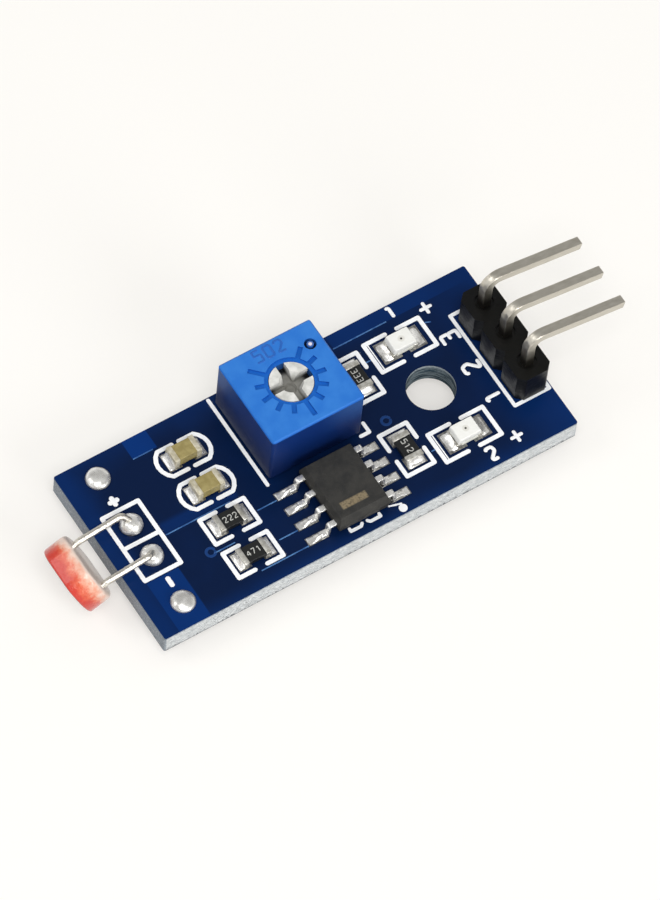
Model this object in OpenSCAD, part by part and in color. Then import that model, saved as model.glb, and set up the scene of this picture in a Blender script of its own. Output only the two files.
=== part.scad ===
// Light sensor module: a photoresistor on a small circuit board, with a comparator chip,
// a sensitivity trimmer, two indicator lights and a three-pin header.
// Origin: centre of the mounting hole, on the board's underside. +X runs to the header, +Z up.
// Sizes ending in _u and _v are steps along and across the board, from a part to its neighbour.
// Places ending in _x and _y follow from them, from the sensor end and the long centre line.

/* [Board] */
// Thickness of the board
board_t = 1.6; // [1.2:0.1:2]
// Board beyond the header's pins
board_end = 1.35; // [1.1:0.05:4]
// Board beyond the chip's near end
board_side = 0.795; // [0.6:0.005:2]
// Radius of the board's corners
board_corner_r = 0.15; // [0.1:0.05:0.4]
// Diameter of the mounting hole
hole_d = 3.3; // [2.8:0.05:3.4]
// Mounting hole and lights, from the two resistors beside the chip
hole_u = 3.82; // [3.6:0.02:6]
// Mounting hole, from the centre line
hole_v = 0.15; // [0:0.05:0.3]
// Far corner hole, from the board's far edge
corner_far = 1.55; // [1.3:0.05:2]
// Near corner hole, from the board's near edge
corner_near = 1.75; // [1.3:0.05:2]
// Thickness of copper pads with their tinning
copper_t = 0.05; // [0.03:0.01:0.08]
// Thickness of the white printed lines
ink_t = 0.03; // [0.02:0.01:0.05]
// Width of the white printed lines
ink_w = 0.29; // [0.2:0.01:0.34]
// How far trimmed leads reach below the board
tail = 1.3; // [1:0.05:1.6]

/* [Photoresistor] */
// Diameter of the photoresistor's disc
disc_d = 4.9; // [4.6:0.1:5.4]
// Width of the disc across its two flats
disc_flats = 4.2; // [3.9:0.1:4.5]
// Thickness of the ceramic disc
ceramic_t = 1.35; // [1.1:0.05:1.6]
// Thickness of the light-sensitive film
film_t = 0.06; // [0.04:0.01:0.1]
// How far the film wraps down the rim
film_skirt = 0.6; // [0.4:0.05:0.8]
// Thickness of the metal electrodes
electrode_t = 0.04; // [0.03:0.01:0.06]
// Thickness of the clear coating over the face
coating_t = 0.3; // [0.2:0.05:0.4]
// Width of the winding gap between the electrodes
track_gap = 0.26; // [0.2:0.02:0.32]
// Spacing of that gap's rows, of which as many pairs are cut as fit between the leads
track_step = 0.38; // [0.34:0.01:0.5]
// Diameter of the sensor's wire leads
lead_d = 0.46; // [0.4:0.02:0.5]
// Middle of each lead, from the disc's rim
lead_edge = 0.75; // [0.6:0.05:0.95]
// Tilt of the disc's axis from level
disc_tilt = 25; // [15:1:30]
// Disc centre beyond the sensor end
disc_reach = 2.3; // [2.1:0.05:2.6]
// Disc centre above the board's underside
disc_z = 1.68; // [1.6:0.02:1.8]
// Height of the leads' bend above the board
lead_rise = 1.1; // [0.95:0.05:1.3]
// Sensor pads, from the sensor end
sensor_u = 2.45; // [2.3:0.05:2.6]
// Distance between the sensor's pads
sensor_pitch = 2.54; // [2.4:0.02:2.6]

/* [Trimmer] */
// Length of the trimmer's housing along the board
trimmer_l = 6.95; // [6.4:0.05:8]
// Width of the trimmer's housing across the board
trimmer_w = 6.7; // [6.4:0.05:8]
// Height of the trimmer above the board
trimmer_h = 4.85; // [4.7:0.05:5.2]
// Trimmer's wall on the sensor side, from the column of small parts
trimmer_u = 3.715; // [3.2:0.005:6]
// Trimmer's far wall, from the board's far edge
trimmer_v = 0.565; // [0.3:0.005:2]
// Wall thickness of the housing
trimmer_wall = 0.6; // [0.5:0.05:0.7]
// Thickness of the housing's roof
roof_t = 0.85; // [0.75:0.05:0.95]
// Height of the housing's feet
foot_h = 0.35; // [0.3:0.05:0.45]
// Diameter of the rotor's visible knob
knob_d = 2.9; // [2.7:0.05:3]
// Running clearance around the rotor
rotor_gap = 0.04; // [0.03:0.01:0.06]
// Width of the screwdriver slots
slot_w = 0.62; // [0.5:0.02:0.7]
// Depth of the screwdriver slots
slot_depth = 0.85; // [0.5:0.05:0.95]
// Diameter of the trimmer's pins
trimmer_pin_d = 0.5; // [0.4:0.02:0.56]
// Spacing of the trimmer's pins
trimmer_pitch = 2.54; // [2.4:0.02:2.6]
// Number of marks on the dial
dial_marks = 11; // [7:1:13]
// Angle that the dial's marks span
dial_span = 270; // [240:5:280]

/* [Comparator] */
// Width of the chip's body, between its lead rows
chip_w = 3.9; // [3.6:0.05:4]
// Chip's body beyond the middles of its outer leads
chip_end = 0.545; // [0.4:0.005:0.8]
// Height of the chip's top above the board
chip_h = 1.52; // [1.4:0.02:1.7]
// Gap between the chip's body and the board
chip_standoff = 0.15; // [0.1:0.01:0.2]
// Width of a chip lead
chip_lead_w = 0.43; // [0.36:0.01:0.5]
// Thickness of a chip lead
chip_lead_t = 0.2; // [0.16:0.01:0.22]
// Spacing of the chip's leads
chip_pitch = 1.27; // [1.24:0.01:1.28]
// Reach of the leads beyond the chip's body
chip_reach = 1.1; // [1:0.05:1.3]
// Chip centre beyond the trimmer's, along the board
chip_u = 0.23; // [0:0.01:0.4]
// Chip's far end, from the trimmer's near wall
chip_v = 0.69; // [0.4:0.01:2]

/* [Small parts] */
// Length of a resistor, capacitor or light
small_l = 2.0; // [1.9:0.05:2.1]
// Width of a resistor, capacitor or light
small_w = 1.25; // [1.2:0.05:1.35]
// Thickness of a resistor
resistor_t = 0.5; // [0.45:0.05:0.6]
// Thickness of a capacitor
capacitor_t = 0.85; // [0.7:0.05:1]
// Thickness of a light's base
led_base_t = 0.3; // [0.25:0.05:0.4]
// Height of a light's clear lens
led_lens_h = 0.5; // [0.4:0.05:0.6]
// Length of a metal end cap
cap_end = 0.36; // [0.3:0.02:0.44]
// Thickness of a metal end cap
plate_t = 0.04; // [0.03:0.01:0.06]
// Column of four small parts, from the sensor's pads
column_u = 5.6; // [5:0.05:8]
// Row spacing in that column
column_pitch = 2.81; // [2.78:0.01:2.84]
// Two resistors beside the chip, from the trimmer's wall on the header side
side_u = 1.945; // [1.8:0.005:4]
// Lights, from the centre line
led_v = 3.86; // [3.8:0.02:3.9]

/* [Header] */
// Pin spacing of the header
header_pitch = 2.54; // [2.5:0.02:2.56]
// Width of the header block along the board
header_w = 2.5; // [2.4:0.05:2.6]
// Height of the header block
header_h = 2.54; // [2.4:0.02:2.7]
// Corner cut on each segment of the block
header_cut = 0.46; // [0.3:0.02:0.5]
// Thickness of a square header pin
pin_t = 0.64; // [0.6:0.01:0.66]
// Header pins, from the mounting hole
header_u = 5.47; // [5:0.01:9]
// Straight rise of the pins above the block
pin_rise = 1.74; // [1.5:0.02:2]
// Radius of the pins' bend, at their middle
pin_bend_r = 0.85; // [0.7:0.05:1]
// Droop of the pins' free ends below level
pin_droop = 11; // [0:1:12]
// Length of the pins' straight free ends
pin_free = 6.3; // [5.5:0.1:6.6]

/* [Hidden] */
$fn = 32;
EPS = 0.01;
SIDES = [-1, 1];
FULL = 360;
RIGHT = 90;
HALF = 180;
FINE_FN = 64;
SMALL_FN = 24;
WIRE_FN = 20;
INK_FN = 10;
WIRE_SIDES = 12;
ARC_STEPS = 6;
CHIP_BEND_STEPS = 4;
PIN_BEND_STEPS = 8;

// Chip's length over its four leads a side, and the board's width that it and the trimmer take
chip_l = 3 * chip_pitch + 2 * chip_end;
board_w = trimmer_v + trimmer_w + chip_v + chip_l + board_side;

// Places along the board, from the sensor end
column_x = sensor_u + column_u;
trimmer_x = column_x + trimmer_u + trimmer_l / 2;
chip_x = trimmer_x + chip_u;
side_x = trimmer_x + trimmer_l / 2 + side_u;
hole_x = side_x + hole_u;
header_x = hole_x + header_u;
board_l = header_x + board_end;

// Places across the board, from its centre line
sensor_y = 0.02;
column_y = -0.22;
header_y = 0.13;
trimmer_y = board_w / 2 - trimmer_v - trimmer_w / 2;
chip_y = trimmer_y - trimmer_w / 2 - chip_v - chip_l / 2;
side_shift = [0.21, 0.68];
side_y = [trimmer_y + side_shift[0], chip_y + side_shift[1]];
corner_shift = 0.04;
corner_x = sensor_u - corner_shift;
corner_y = [board_w / 2 - corner_far, corner_near - board_w / 2];

// Heights
board_top = board_t;
pad_top = board_top + copper_t;
floor_z = -tail;

// Plated holes
lead_room = 0.4;
lead_hole_d = lead_d + lead_room;
pin_hole_d = 1.02;
trimmer_room = 0.36;
trimmer_hole_d = trimmer_pin_d + trimmer_room;
corner_hole_d = 0.9;

// Solder's tip, against the thickness of the lead that it climbs
mound_tip = 1.2;
cone_tip = 1.4;
pin_cone_tip = 1.8;

// Round pads
sensor_pad_d = 1.55;
corner_pad_d = 1.66;
header_pad_d = 1.7;
trimmer_pad_d = 1.6;

// Photoresistor
sensor_t = ceramic_t + film_t + electrode_t + coating_t;
film_x = coating_t + electrode_t;
ceramic_x = film_x + film_t;
electrode_inset = 0.22;
coating_edge = 0.12;
comb_margin = 0.62;
comb_end = 0.32;
lead_pitch = disc_d - 2 * lead_edge;
disc_c = [-disc_reach, sensor_y, disc_z];
lead_stub = 0.4;
lead_lean = 0.5;
lead_knee = [sensor_u - lead_lean, lead_pitch / 2, board_top + lead_rise];
lead_foot = 0.5;
lead_foot_z = board_top + lead_foot;
lead_bend_r = 0.35;
mound_h = 0.72;
corner_mound_h = 0.42;
sensor_frame = [2.69, 5.22];

// Trimmer
trimmer_top = board_top + trimmer_h;
trimmer_base = board_top + foot_h;
roof_z = trimmer_top - roof_t;
trimmer_cone_h = 0.7;
potting_t = 0.65;
substrate_t = 0.55;
potting_sink = 0.1;
substrate_z = trimmer_base + potting_sink + potting_t;
substrate_top = substrate_z + substrate_t;
track_t = 0.04;
track_top = substrate_top + track_t;
wiper_gap = 0.03;
wiper_t = 0.12;
wiper_lift = 0.16;
wiper_z = track_top + wiper_gap + wiper_lift;
hub_z = wiper_z + wiper_t;
ring_wire = 0.5;
ring_gap = 0.03;
hub_top = roof_z - ring_wire - 2 * ring_gap;
knob_sink = 0.08;
knob_top = trimmer_top - knob_sink;
slot_dish = 1.1;
slot_flare = 0.496;
cavity_wall = 0.1;
cavity_d = min(trimmer_l, trimmer_w) - 2 * trimmer_wall - 2 * cavity_wall;
hub_gap = 0.1;
hub_d = cavity_d - 2 * hub_gap;
track_margin = 0.45;
track_w = 0.6;
track_r = [hub_d / 2 - track_margin - track_w, hub_d / 2 - track_margin];
collector_r = [0.3, 0.85];
pin_inset = 0.335;
foot_w = 0.7;
foot_inset = 0.4;
housing_r = 0.22;
housing_bevel = 0.12;
dial_ring_w = 0.3;
dial_depth = 0.14;
mark_w = 0.34;
mark_short = 0.95;
mark_end = 1.15;
mark_long = 1.43;
gate_inset = [0.975, 1.63];
gate_d = 0.82;
gate_depth = 0.34;
gate_stub_d = 0.46;
gate_stub_sink = 0.02;

// Comparator
lead_plane = 0.72;
chip_draft = 0.24;
chip_stub = 0.4;
chip_shoulder = 0.35;
chip_foot = 0.45;
chip_bend_r = 0.14;
chip_tip = chip_w / 2 + chip_reach;
chip_pad_show = 0.82;
chip_pad = [1.52, 0.62];
chip_slip = 0.15;

// Small parts: pads that show beyond each part, along and across
small_pad_l = 0.92;
small_pad_show = [0.4, 0.085];
small_pad = [small_pad_l, small_w + 2 * small_pad_show[1]];
small_pad_out = small_l / 2 + small_pad_show[0];
led_pad_l = 1.32;
led_pad_show = [0.62, 0.19];
led_pad = [led_pad_l, small_w + 2 * led_pad_show[1]];
led_pad_out = small_l / 2 + led_pad_show[0];
notch_r = 0.26;
fillet_h = 0.34;
fillet_rise = 0.8;
pad_margin = 0.05;
lens_margin = 0.08;
lens_draft = 0.12;
die_w = 0.22;
die_h = 0.12;

// Printed outlines: middles of the lines beyond the pads, along and across
cap_print = [0.48, 0.315];
row_print = [0.26, 0.3];
side_print = [0.3, 0.33];
led_print = [0.48, 0.345];
cap_bow_r = 1.26;
print_edge = 0.2;
print_clear = 0.05;

// Header
block_z = pad_top;
block_top = block_z + header_h;
recess_d = 1.3;
recess_h = 0.22;
pin_cone_h = 0.62;

// Moves children to a place on the board, turned about the vertical
module on_board(x, y, z = 0, turn = 0) {
    translate([x - hole_x, y - hole_v, z]) rotate([0, 0, turn]) children();
}

// Points of an arc about a centre, from one angle to another
function arc(c, r, a0, a1, steps = ARC_STEPS) = [
    for (i = [0 : steps])
        let (a = a0 + (a1 - a0) * i / steps)
        c + r * [cos(a), sin(a)]
];

// Unit vector
function unit(v) = v / norm(v);

// Left-hand normal of a flat vector
function left(v) = [-v[1], v[0]];

// Offset of one point of a flat path, mitred between its two neighbours
function mitre(path, i, off) =
    let (
        last = len(path) - 1,
        before = i > 0 ? unit(path[i] - path[i - 1]) : unit(path[1] - path[0]),
        after = i < last ? unit(path[i + 1] - path[i]) : unit(path[last] - path[last - 1]),
        side = unit(left(before) + left(after))
    )
    path[i] + side * off / (side * left(before));

// Outline of a strip of even thickness along a flat path
function strip(path, t) = concat(
    [for (i = [0 : len(path) - 1]) mitre(path, i, t / 2)],
    [for (i = [len(path) - 1 : -1 : 0]) mitre(path, i, -t / 2)]
);

// Path through points in space, with a smooth arc at each inner corner
function rounded_path(points, r) = concat(
    [points[0]],
    [for (i = [1 : len(points) - 2])
        let (
            before = unit(points[i] - points[i - 1]),
            after = unit(points[i + 1] - points[i]),
            turn = acos(before * after),
            start = points[i] - before * r * tan(turn / 2),
            inward = unit(after - before * (before * after))
        )
        for (k = [0 : ARC_STEPS])
            let (a = turn * k / ARC_STEPS)
            start + r * (inward * (1 - cos(a)) + before * sin(a))
    ],
    [points[len(points) - 1]]
);

// Direction of a path at one of its points
function heading(path, i) =
    unit(path[min(i + 1, len(path) - 1)] - path[max(i - 1, 0)]);

// Round wire along a path, in rings of flat sides
module wire(path, d) {
    last = len(path) - 1;
    rings = [for (i = [0 : last])
        let (
            dir = heading(path, i),
            across = unit(cross([0, 1, 0], dir)),
            side = cross(dir, across)
        )
        for (k = [0 : WIRE_SIDES - 1])
            let (a = FULL * k / WIRE_SIDES)
            path[i] + d / 2 * (across * cos(a) + side * sin(a))
    ];
    walls = [for (i = [0 : last - 1], k = [0 : WIRE_SIDES - 1])
        let (next = (k + 1) % WIRE_SIDES, low = i * WIRE_SIDES, high = low + WIRE_SIDES)
        [low + k, high + k, high + next, low + next]
    ];
    polyhedron(rings, concat(
        [[for (k = [0 : WIRE_SIDES - 1]) k]],
        walls,
        [[for (k = [WIRE_SIDES - 1 : -1 : 0]) last * WIRE_SIDES + k]]
    ));
}

// Line of ink with round ends, in the plane
module ink(a, b, w = ink_w) {
    span = b - a;
    translate(a) rotate(atan2(span[1], span[0])) translate([0, -w / 2]) square([norm(span), w]);
    for (p = [a, b]) translate(p) circle(d = w, $fn = INK_FN);
}

// Chain of ink lines
module ink_path(points, w = ink_w) {
    for (i = [0 : len(points) - 2]) ink(points[i], points[i + 1], w);
}

// Half of a printed outline round two pads, open in the middle of its long sides; its end may bow
module ink_bracket(pad_out, pad_w, beyond, gap, bow_r = 0) {
    end = pad_out + beyond[0];
    side = pad_w / 2 + beyond[1];
    lean = bow_r > 0 ? asin(side / bow_r) : 0;
    corners = bow_r > 0
        ? arc([end - bow_r, 0], bow_r, lean, -lean)
        : [[end, side], [end, -side]];
    ink_path(concat([[gap / 2, side]], corners, [[gap / 2, -side]]));
}

// Both halves of such an outline
module ink_pair(pad_out, pad_w, beyond, gap, bow_r = 0) {
    for (s = SIDES) scale([s, 1]) ink_bracket(pad_out, pad_w, beyond, gap, bow_r);
}

// Solder mound, a dome on a round pad
module mound(d, h, top_d = 0) {
    lean = acos(top_d / d);
    rotate_extrude() polygon(concat(
        [[0, 0]],
        [for (p = arc([0, 0], 1, 0, lean)) [p[0] * d / 2, p[1] * h / sin(lean)]],
        [[0, h]]
    ));
}

// Hollow-sided solder cone that climbs a lead
module cone(d, tip_d, h) {
    run = (d - tip_d) / 2;
    rotate_extrude() polygon(concat(
        [[0, 0]],
        [for (p = arc([d / 2, h], 1, -RIGHT, -HALF)) [d / 2 + (p[0] - d / 2) * run, h + (p[1] - h) * h]],
        [[0, h]]
    ));
}

// Solder that fills a plated hole, and places for what stands on the pads above and below it
module plug(d) {
    translate([0, 0, -copper_t]) cylinder(d = d, h = board_t + 2 * copper_t);
}

module above() {
    translate([0, 0, pad_top]) children();
}

module below() {
    translate([0, 0, -copper_t]) mirror([0, 0, 1]) children();
}

// Place of each sensor pad, on one side of the centre line or the other
function sensor_pad(s) = [sensor_u, sensor_y + s * sensor_pitch / 2];

// Pins of the trimmer: one near each end wall, and the middle one of the rotor's contact
function trimmer_pin_at(n) = [
    trimmer_x + (n - 2) * (trimmer_l / 2 - trimmer_wall - pin_inset),
    trimmer_y + (n == 2 ? 1 : -1) * trimmer_pitch / 2
];

// Header pins, counted from the far side
function header_pin_at(n) = [header_x, header_y + (2 - n) * header_pitch];

// Four places in the column of small parts
function column_at(n) = [column_x, column_y + (2.5 - n) * column_pitch];

// Place and turn of each resistor
function resistor_at(n) = n <= 2 ? concat(column_at(n + 2), 0) : [side_x, side_y[n - 3], RIGHT];

// Place of each light
function light_at(n) = [hole_x, n == 1 ? led_v : -led_v];

// Holes through the board, for cutting
module plated_holes() {
    for (s = SIDES) on_board(sensor_pad(s)[0], sensor_pad(s)[1]) circle(d = lead_hole_d);
    for (y = corner_y) on_board(corner_x, y) circle(d = corner_hole_d);
    for (n = [1 : 3]) on_board(header_pin_at(n)[0], header_pin_at(n)[1]) circle(d = pin_hole_d);
    for (n = [1 : 3]) on_board(trimmer_pin_at(n)[0], trimmer_pin_at(n)[1]) circle(d = trimmer_hole_d);
}

// Board blank, round-cornered
module blank() {
    r = board_corner_r;
    on_board(0, -board_w / 2) {
        translate([r, 0]) square([board_l - 2 * r, board_w]);
        translate([0, r]) square([board_l, board_w - 2 * r]);
        for (x = [r, board_l - r], y = [r, board_w - r]) translate([x, y]) circle(r = r);
    }
}

module circuit_board() {
    color([0.05, 0.14, 0.36]) difference() {
        linear_extrude(board_t) difference() {
            blank();
            plated_holes();
        }
        translate([0, 0, -EPS]) cylinder(d = hole_d, h = board_t + 2 * EPS, $fn = FINE_FN);
    }
}

// Round pads on one face, with a margin round each
module round_pads(grow = 0) {
    wider = 2 * grow;
    for (s = SIDES) on_board(sensor_pad(s)[0], sensor_pad(s)[1]) circle(d = sensor_pad_d + wider);
    for (y = corner_y) on_board(corner_x, y) circle(d = corner_pad_d + wider);
    for (n = [1 : 3]) on_board(header_pin_at(n)[0], header_pin_at(n)[1]) circle(d = header_pad_d + wider);
    for (n = [1 : 3]) on_board(trimmer_pin_at(n)[0], trimmer_pin_at(n)[1])
        circle(d = trimmer_pad_d + wider);
}

// Pair of pads for one small part
module pad_pair(size, out, grow) {
    for (s = SIDES) translate([s * (out - size[0] / 2), 0])
        square([size[0] + 2 * grow, size[1] + 2 * grow], center = true);
}

// Flat pads of the small parts and the chip, with a margin round each
module flat_pads(grow = 0) {
    for (n = [1 : 2]) on_board(column_at(n)[0], column_at(n)[1]) pad_pair(small_pad, small_pad_out, grow);
    for (n = [1 : 4]) on_board(resistor_at(n)[0], resistor_at(n)[1], 0, resistor_at(n)[2])
        pad_pair(small_pad, small_pad_out, grow);
    for (n = [1 : 2]) on_board(light_at(n)[0], light_at(n)[1]) pad_pair(led_pad, led_pad_out, grow);
    for (n = [1 : 8]) chip_place(n, 0)
        translate([chip_pad_end(n) - chip_pad[0] - grow, -chip_pad[1] / 2 - grow])
            square([chip_pad[0] + 2 * grow, chip_pad[1] + 2 * grow]);
}

module top_pads() {
    color([0.78, 0.78, 0.76]) translate([0, 0, board_top]) linear_extrude(copper_t) {
        difference() {
            round_pads();
            plated_holes();
        }
        flat_pads();
    }
}

module bottom_pads() {
    color([0.78, 0.78, 0.76]) translate([0, 0, -copper_t]) linear_extrude(copper_t) difference() {
        round_pads();
        plated_holes();
    }
}

// White outlines printed round each component, kept off every pad
module legend_print() {
    color("white") translate([0, 0, board_top]) linear_extrude(ink_t) difference() {
        union() {
            legend_sensor();
            legend_small_parts();
            legend_trimmer();
            legend_chip();
            legend_header();
        }
        round_pads(print_clear);
        flat_pads(print_clear);
    }
}

// Printed frame of the sensor, with a line between its two pads
module legend_sensor() {
    l = sensor_frame[0] / 2;
    w = sensor_frame[1] / 2;
    on_board(sensor_u, sensor_y) {
        for (s = SIDES) ink([s * l, -w], [s * l, w]);
        for (s = [-1, 0, 1]) ink([-l, s * w], [l, s * w]);
    }
}

// Printed outlines of the capacitors, resistors and lights
module legend_small_parts() {
    cap_gap = 0.52;
    gap = 0.9;
    line_in = 0.24;
    line_w = 0.08;
    for (n = [1 : 2]) on_board(column_at(n)[0], column_at(n)[1])
        ink_pair(small_pad_out, small_pad[1], cap_print, cap_gap, cap_bow_r);
    for (n = [1 : 2]) on_board(resistor_at(n)[0], resistor_at(n)[1])
        ink_pair(small_pad_out, small_pad[1], row_print, gap);
    for (n = [3 : 4]) on_board(resistor_at(n)[0], resistor_at(n)[1], 0, RIGHT)
        ink_pair(small_pad_out, small_pad[1], side_print, gap);
    for (n = [1 : 2]) on_board(light_at(n)[0], light_at(n)[1]) {
        ink_pair(led_pad_out, led_pad[1], led_print, gap);
        x = line_in - led_pad_out - led_print[0];
        y = led_pad[1] / 2 + led_print[1];
        ink([x, -y], [x, y], line_w);
    }
}

// Printed corner lines of the trimmer
module legend_trimmer() {
    line_w = 0.25;
    corner = [0.65, 0.75];
    beyond_w = 0.22;
    beyond_e = 0.56;
    beyond_s = 0.16;
    west = trimmer_x - trimmer_l / 2 - beyond_w;
    east = trimmer_x + trimmer_l / 2 + beyond_e;
    south = trimmer_y - trimmer_w / 2 - beyond_s;
    north = board_w / 2 - print_edge;
    on_board(0, 0) {
        ink_path([[west, north], [west, south]], line_w);
        ink_path([[east - corner[0], south], [east, south], [east, south + corner[1]]], line_w);
    }
}

// Printed end line of the chip, with its notch, the dot at lead 1 and a short stroke between them
module legend_chip() {
    line_w = 0.22;
    notch = [0.2, 0.35];
    drop = 0.15;
    rise = 0.05;
    reach = 1.12;
    stroke_w = 0.12;
    stroke_from = [chip_w / 2, 0.17];
    stroke_to = [chip_tip - 0.3, -0.06];
    dot_d = 0.58;
    dot_at = [chip_tip - 0.37, -0.38];
    on_board(chip_x, chip_y - chip_l / 2) {
        for (s = SIDES) scale([s, 1])
            ink_path([[notch[0], 0], [notch[1], -drop], [reach, -drop], [reach, rise]], line_w);
        ink(stroke_from, stroke_to, stroke_w);
        translate(dot_at) circle(d = dot_d);
    }
}

// Printed box of the header, open where the block stands
module legend_header() {
    line_w = 0.25;
    stub = [0.8, 0.45];
    beyond_w = 0.25;
    beyond_s = 0.03;
    beyond_n = 0.11;
    west = header_x - header_w / 2 - beyond_w;
    east = board_l - print_edge;
    south = header_y - 1.5 * header_pitch - beyond_s;
    north = header_y + 1.5 * header_pitch + beyond_n;
    on_board(0, 0) ink_path([
        [west + stub[0], north],
        [west, north],
        [west, south],
        [east, south],
        [east, south + stub[1]]
    ], line_w);
}

// Photoresistor frame: its face looks along -X, tilted down with its leads
module disc_frame() {
    on_board(disc_c[0], disc_c[1], disc_c[2]) rotate([0, -disc_tilt, 0])
        translate([-sensor_t / 2, 0, 0]) children();
}

// Disc with two flats, from one depth to another behind the face
module disc_slab(x0, x1, inset = 0) {
    translate([x0, 0, 0]) rotate([0, RIGHT, 0]) intersection() {
        cylinder(d = disc_d - 2 * inset, h = x1 - x0, $fn = FINE_FN);
        translate([-disc_flats / 2 + inset, -disc_d, -EPS])
            cube([disc_flats - 2 * inset, 2 * disc_d, x1 - x0 + 2 * EPS]);
    }
}

// Space that the two leads take in the disc
module lead_holes() {
    for (s = SIDES) translate([0, s * lead_pitch / 2, 0]) rotate([0, RIGHT, 0])
        cylinder(d = lead_d, h = 2 * sensor_t, $fn = WIRE_FN);
}

module sensor_disc() {
    color([0.9, 0.84, 0.74]) disc_frame() difference() {
        union() {
            disc_slab(ceramic_x, ceramic_x + film_skirt, film_t);
            disc_slab(ceramic_x + film_skirt, sensor_t);
        }
        lead_holes();
    }
}

module sensor_film() {
    color([0.85, 0.22, 0.1]) disc_frame() difference() {
        disc_slab(film_x, ceramic_x + film_skirt);
        disc_slab(ceramic_x, ceramic_x + film_skirt + EPS, film_t);
        lead_holes();
    }
}

// Winding gap between the two electrodes, seen face on
module track_line() {
    pairs = floor(((lead_pitch - lead_d) / 2 - comb_end) / track_step);
    edge = pairs * track_step;
    reach = disc_flats / 2 - comb_margin;
    for (i = [0 : 2 * pairs]) {
        y = i * track_step - edge;
        side = i % 2 == 0 ? reach : -reach;
        ink([-side, y], [side, y], track_gap);
        if (i < 2 * pairs) ink([side, y], [side, y + track_step], track_gap);
    }
    ink([-reach, -edge], [-disc_flats, -edge], track_gap);
    ink([reach, edge], [disc_flats, edge], track_gap);
}

module sensor_electrodes() {
    color([0.8, 0.78, 0.72]) disc_frame() difference() {
        disc_slab(coating_t, film_x, electrode_inset);
        rotate([0, RIGHT, 0]) linear_extrude(sensor_t) track_line();
        lead_holes();
    }
}

module sensor_coating() {
    color([0.95, 0.9, 0.82, 0.5]) disc_frame() difference() {
        union() {
            disc_slab(0, coating_edge, coating_edge);
            disc_slab(coating_edge, film_x);
        }
        disc_slab(coating_t, film_x + EPS, electrode_inset);
        translate([coating_t, 0, 0]) lead_holes();
    }
}

// Points of one lead, from its trimmed tail to its end in the disc
function disc_point(x, y) = [
    disc_c[0] + (x - sensor_t / 2) * cos(disc_tilt),
    y,
    disc_c[2] + (x - sensor_t / 2) * sin(disc_tilt)
];
function lead_points(s) = [
    [sensor_u, s * sensor_pitch / 2, floor_z],
    [sensor_u, s * sensor_pitch / 2, lead_foot_z],
    [lead_knee[0], s * lead_knee[1], lead_knee[2]],
    disc_point(sensor_t + lead_stub, s * lead_pitch / 2),
    disc_point(coating_t, s * lead_pitch / 2)
];

module lead_wire(s) {
    on_board(0, sensor_y) wire(rounded_path(lead_points(s), lead_bend_r), lead_d);
}

module sensor_lead(n) {
    color([0.82, 0.8, 0.74]) lead_wire(n == 1 ? 1 : -1);
}

module sensor_solder() {
    color([0.75, 0.75, 0.73]) for (s = SIDES) difference() {
        on_board(sensor_pad(s)[0], sensor_pad(s)[1]) {
            above() mound(sensor_pad_d, mound_h, mound_tip * lead_d);
            plug(lead_hole_d);
            below() cone(sensor_pad_d, cone_tip * lead_d, mound_h);
        }
        lead_wire(s);
    }
}

module corner_solder() {
    color([0.75, 0.75, 0.73]) for (y = corner_y) on_board(corner_x, y) {
        above() mound(corner_pad_d, corner_mound_h);
        plug(corner_hole_d);
        below() mound(corner_pad_d, corner_mound_h);
    }
}

// Trimmer, about its own centre line
module at_trimmer(z = 0) {
    on_board(trimmer_x, trimmer_y, z) children();
}

// Rectangle with rounded corners, about the centre
module rounded(l, w, r) {
    square([l - 2 * r, w], center = true);
    square([l, w - 2 * r], center = true);
    for (x = SIDES, y = SIDES) translate([x * (l / 2 - r), y * (w / 2 - r)]) circle(r = r, $fn = SMALL_FN);
}

// Marks of the dial: the middle one and both ends are longer
module dial_marks_cut() {
    last = dial_marks - 1;
    for (i = [0 : last]) {
        reach = (i == last || 2 * i == last) ? mark_long : i == 0 ? mark_end : mark_short;
        rotate(-RIGHT + dial_span / 2 - i * dial_span / last)
            translate([knob_d / 2, -mark_w / 2]) square([reach, mark_w]);
    }
}

// Bevels along the four edges of the trimmer's top
module top_bevels() {
    side = housing_bevel * sqrt(2);
    for (a = [0 : RIGHT : FULL - 1]) rotate(a)
        translate([(a % HALF == 0 ? trimmer_l : trimmer_w) / 2, 0, trimmer_top]) rotate([0, RIGHT / 2, 0])
            cube([side, 2 * max(trimmer_l, trimmer_w), side], center = true);
}

// Round hole in the trimmer's top with a stub at its middle
module gate_cut() {
    translate([trimmer_l / 2 - gate_inset[0], trimmer_w / 2 - gate_inset[1], trimmer_top]) difference() {
        translate([0, 0, -gate_depth]) cylinder(d = gate_d, h = 2 * gate_depth, $fn = SMALL_FN);
        translate([0, 0, -2 * gate_depth])
            cylinder(d = gate_stub_d, h = 2 * gate_depth - gate_stub_sink, $fn = SMALL_FN);
    }
}

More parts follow.
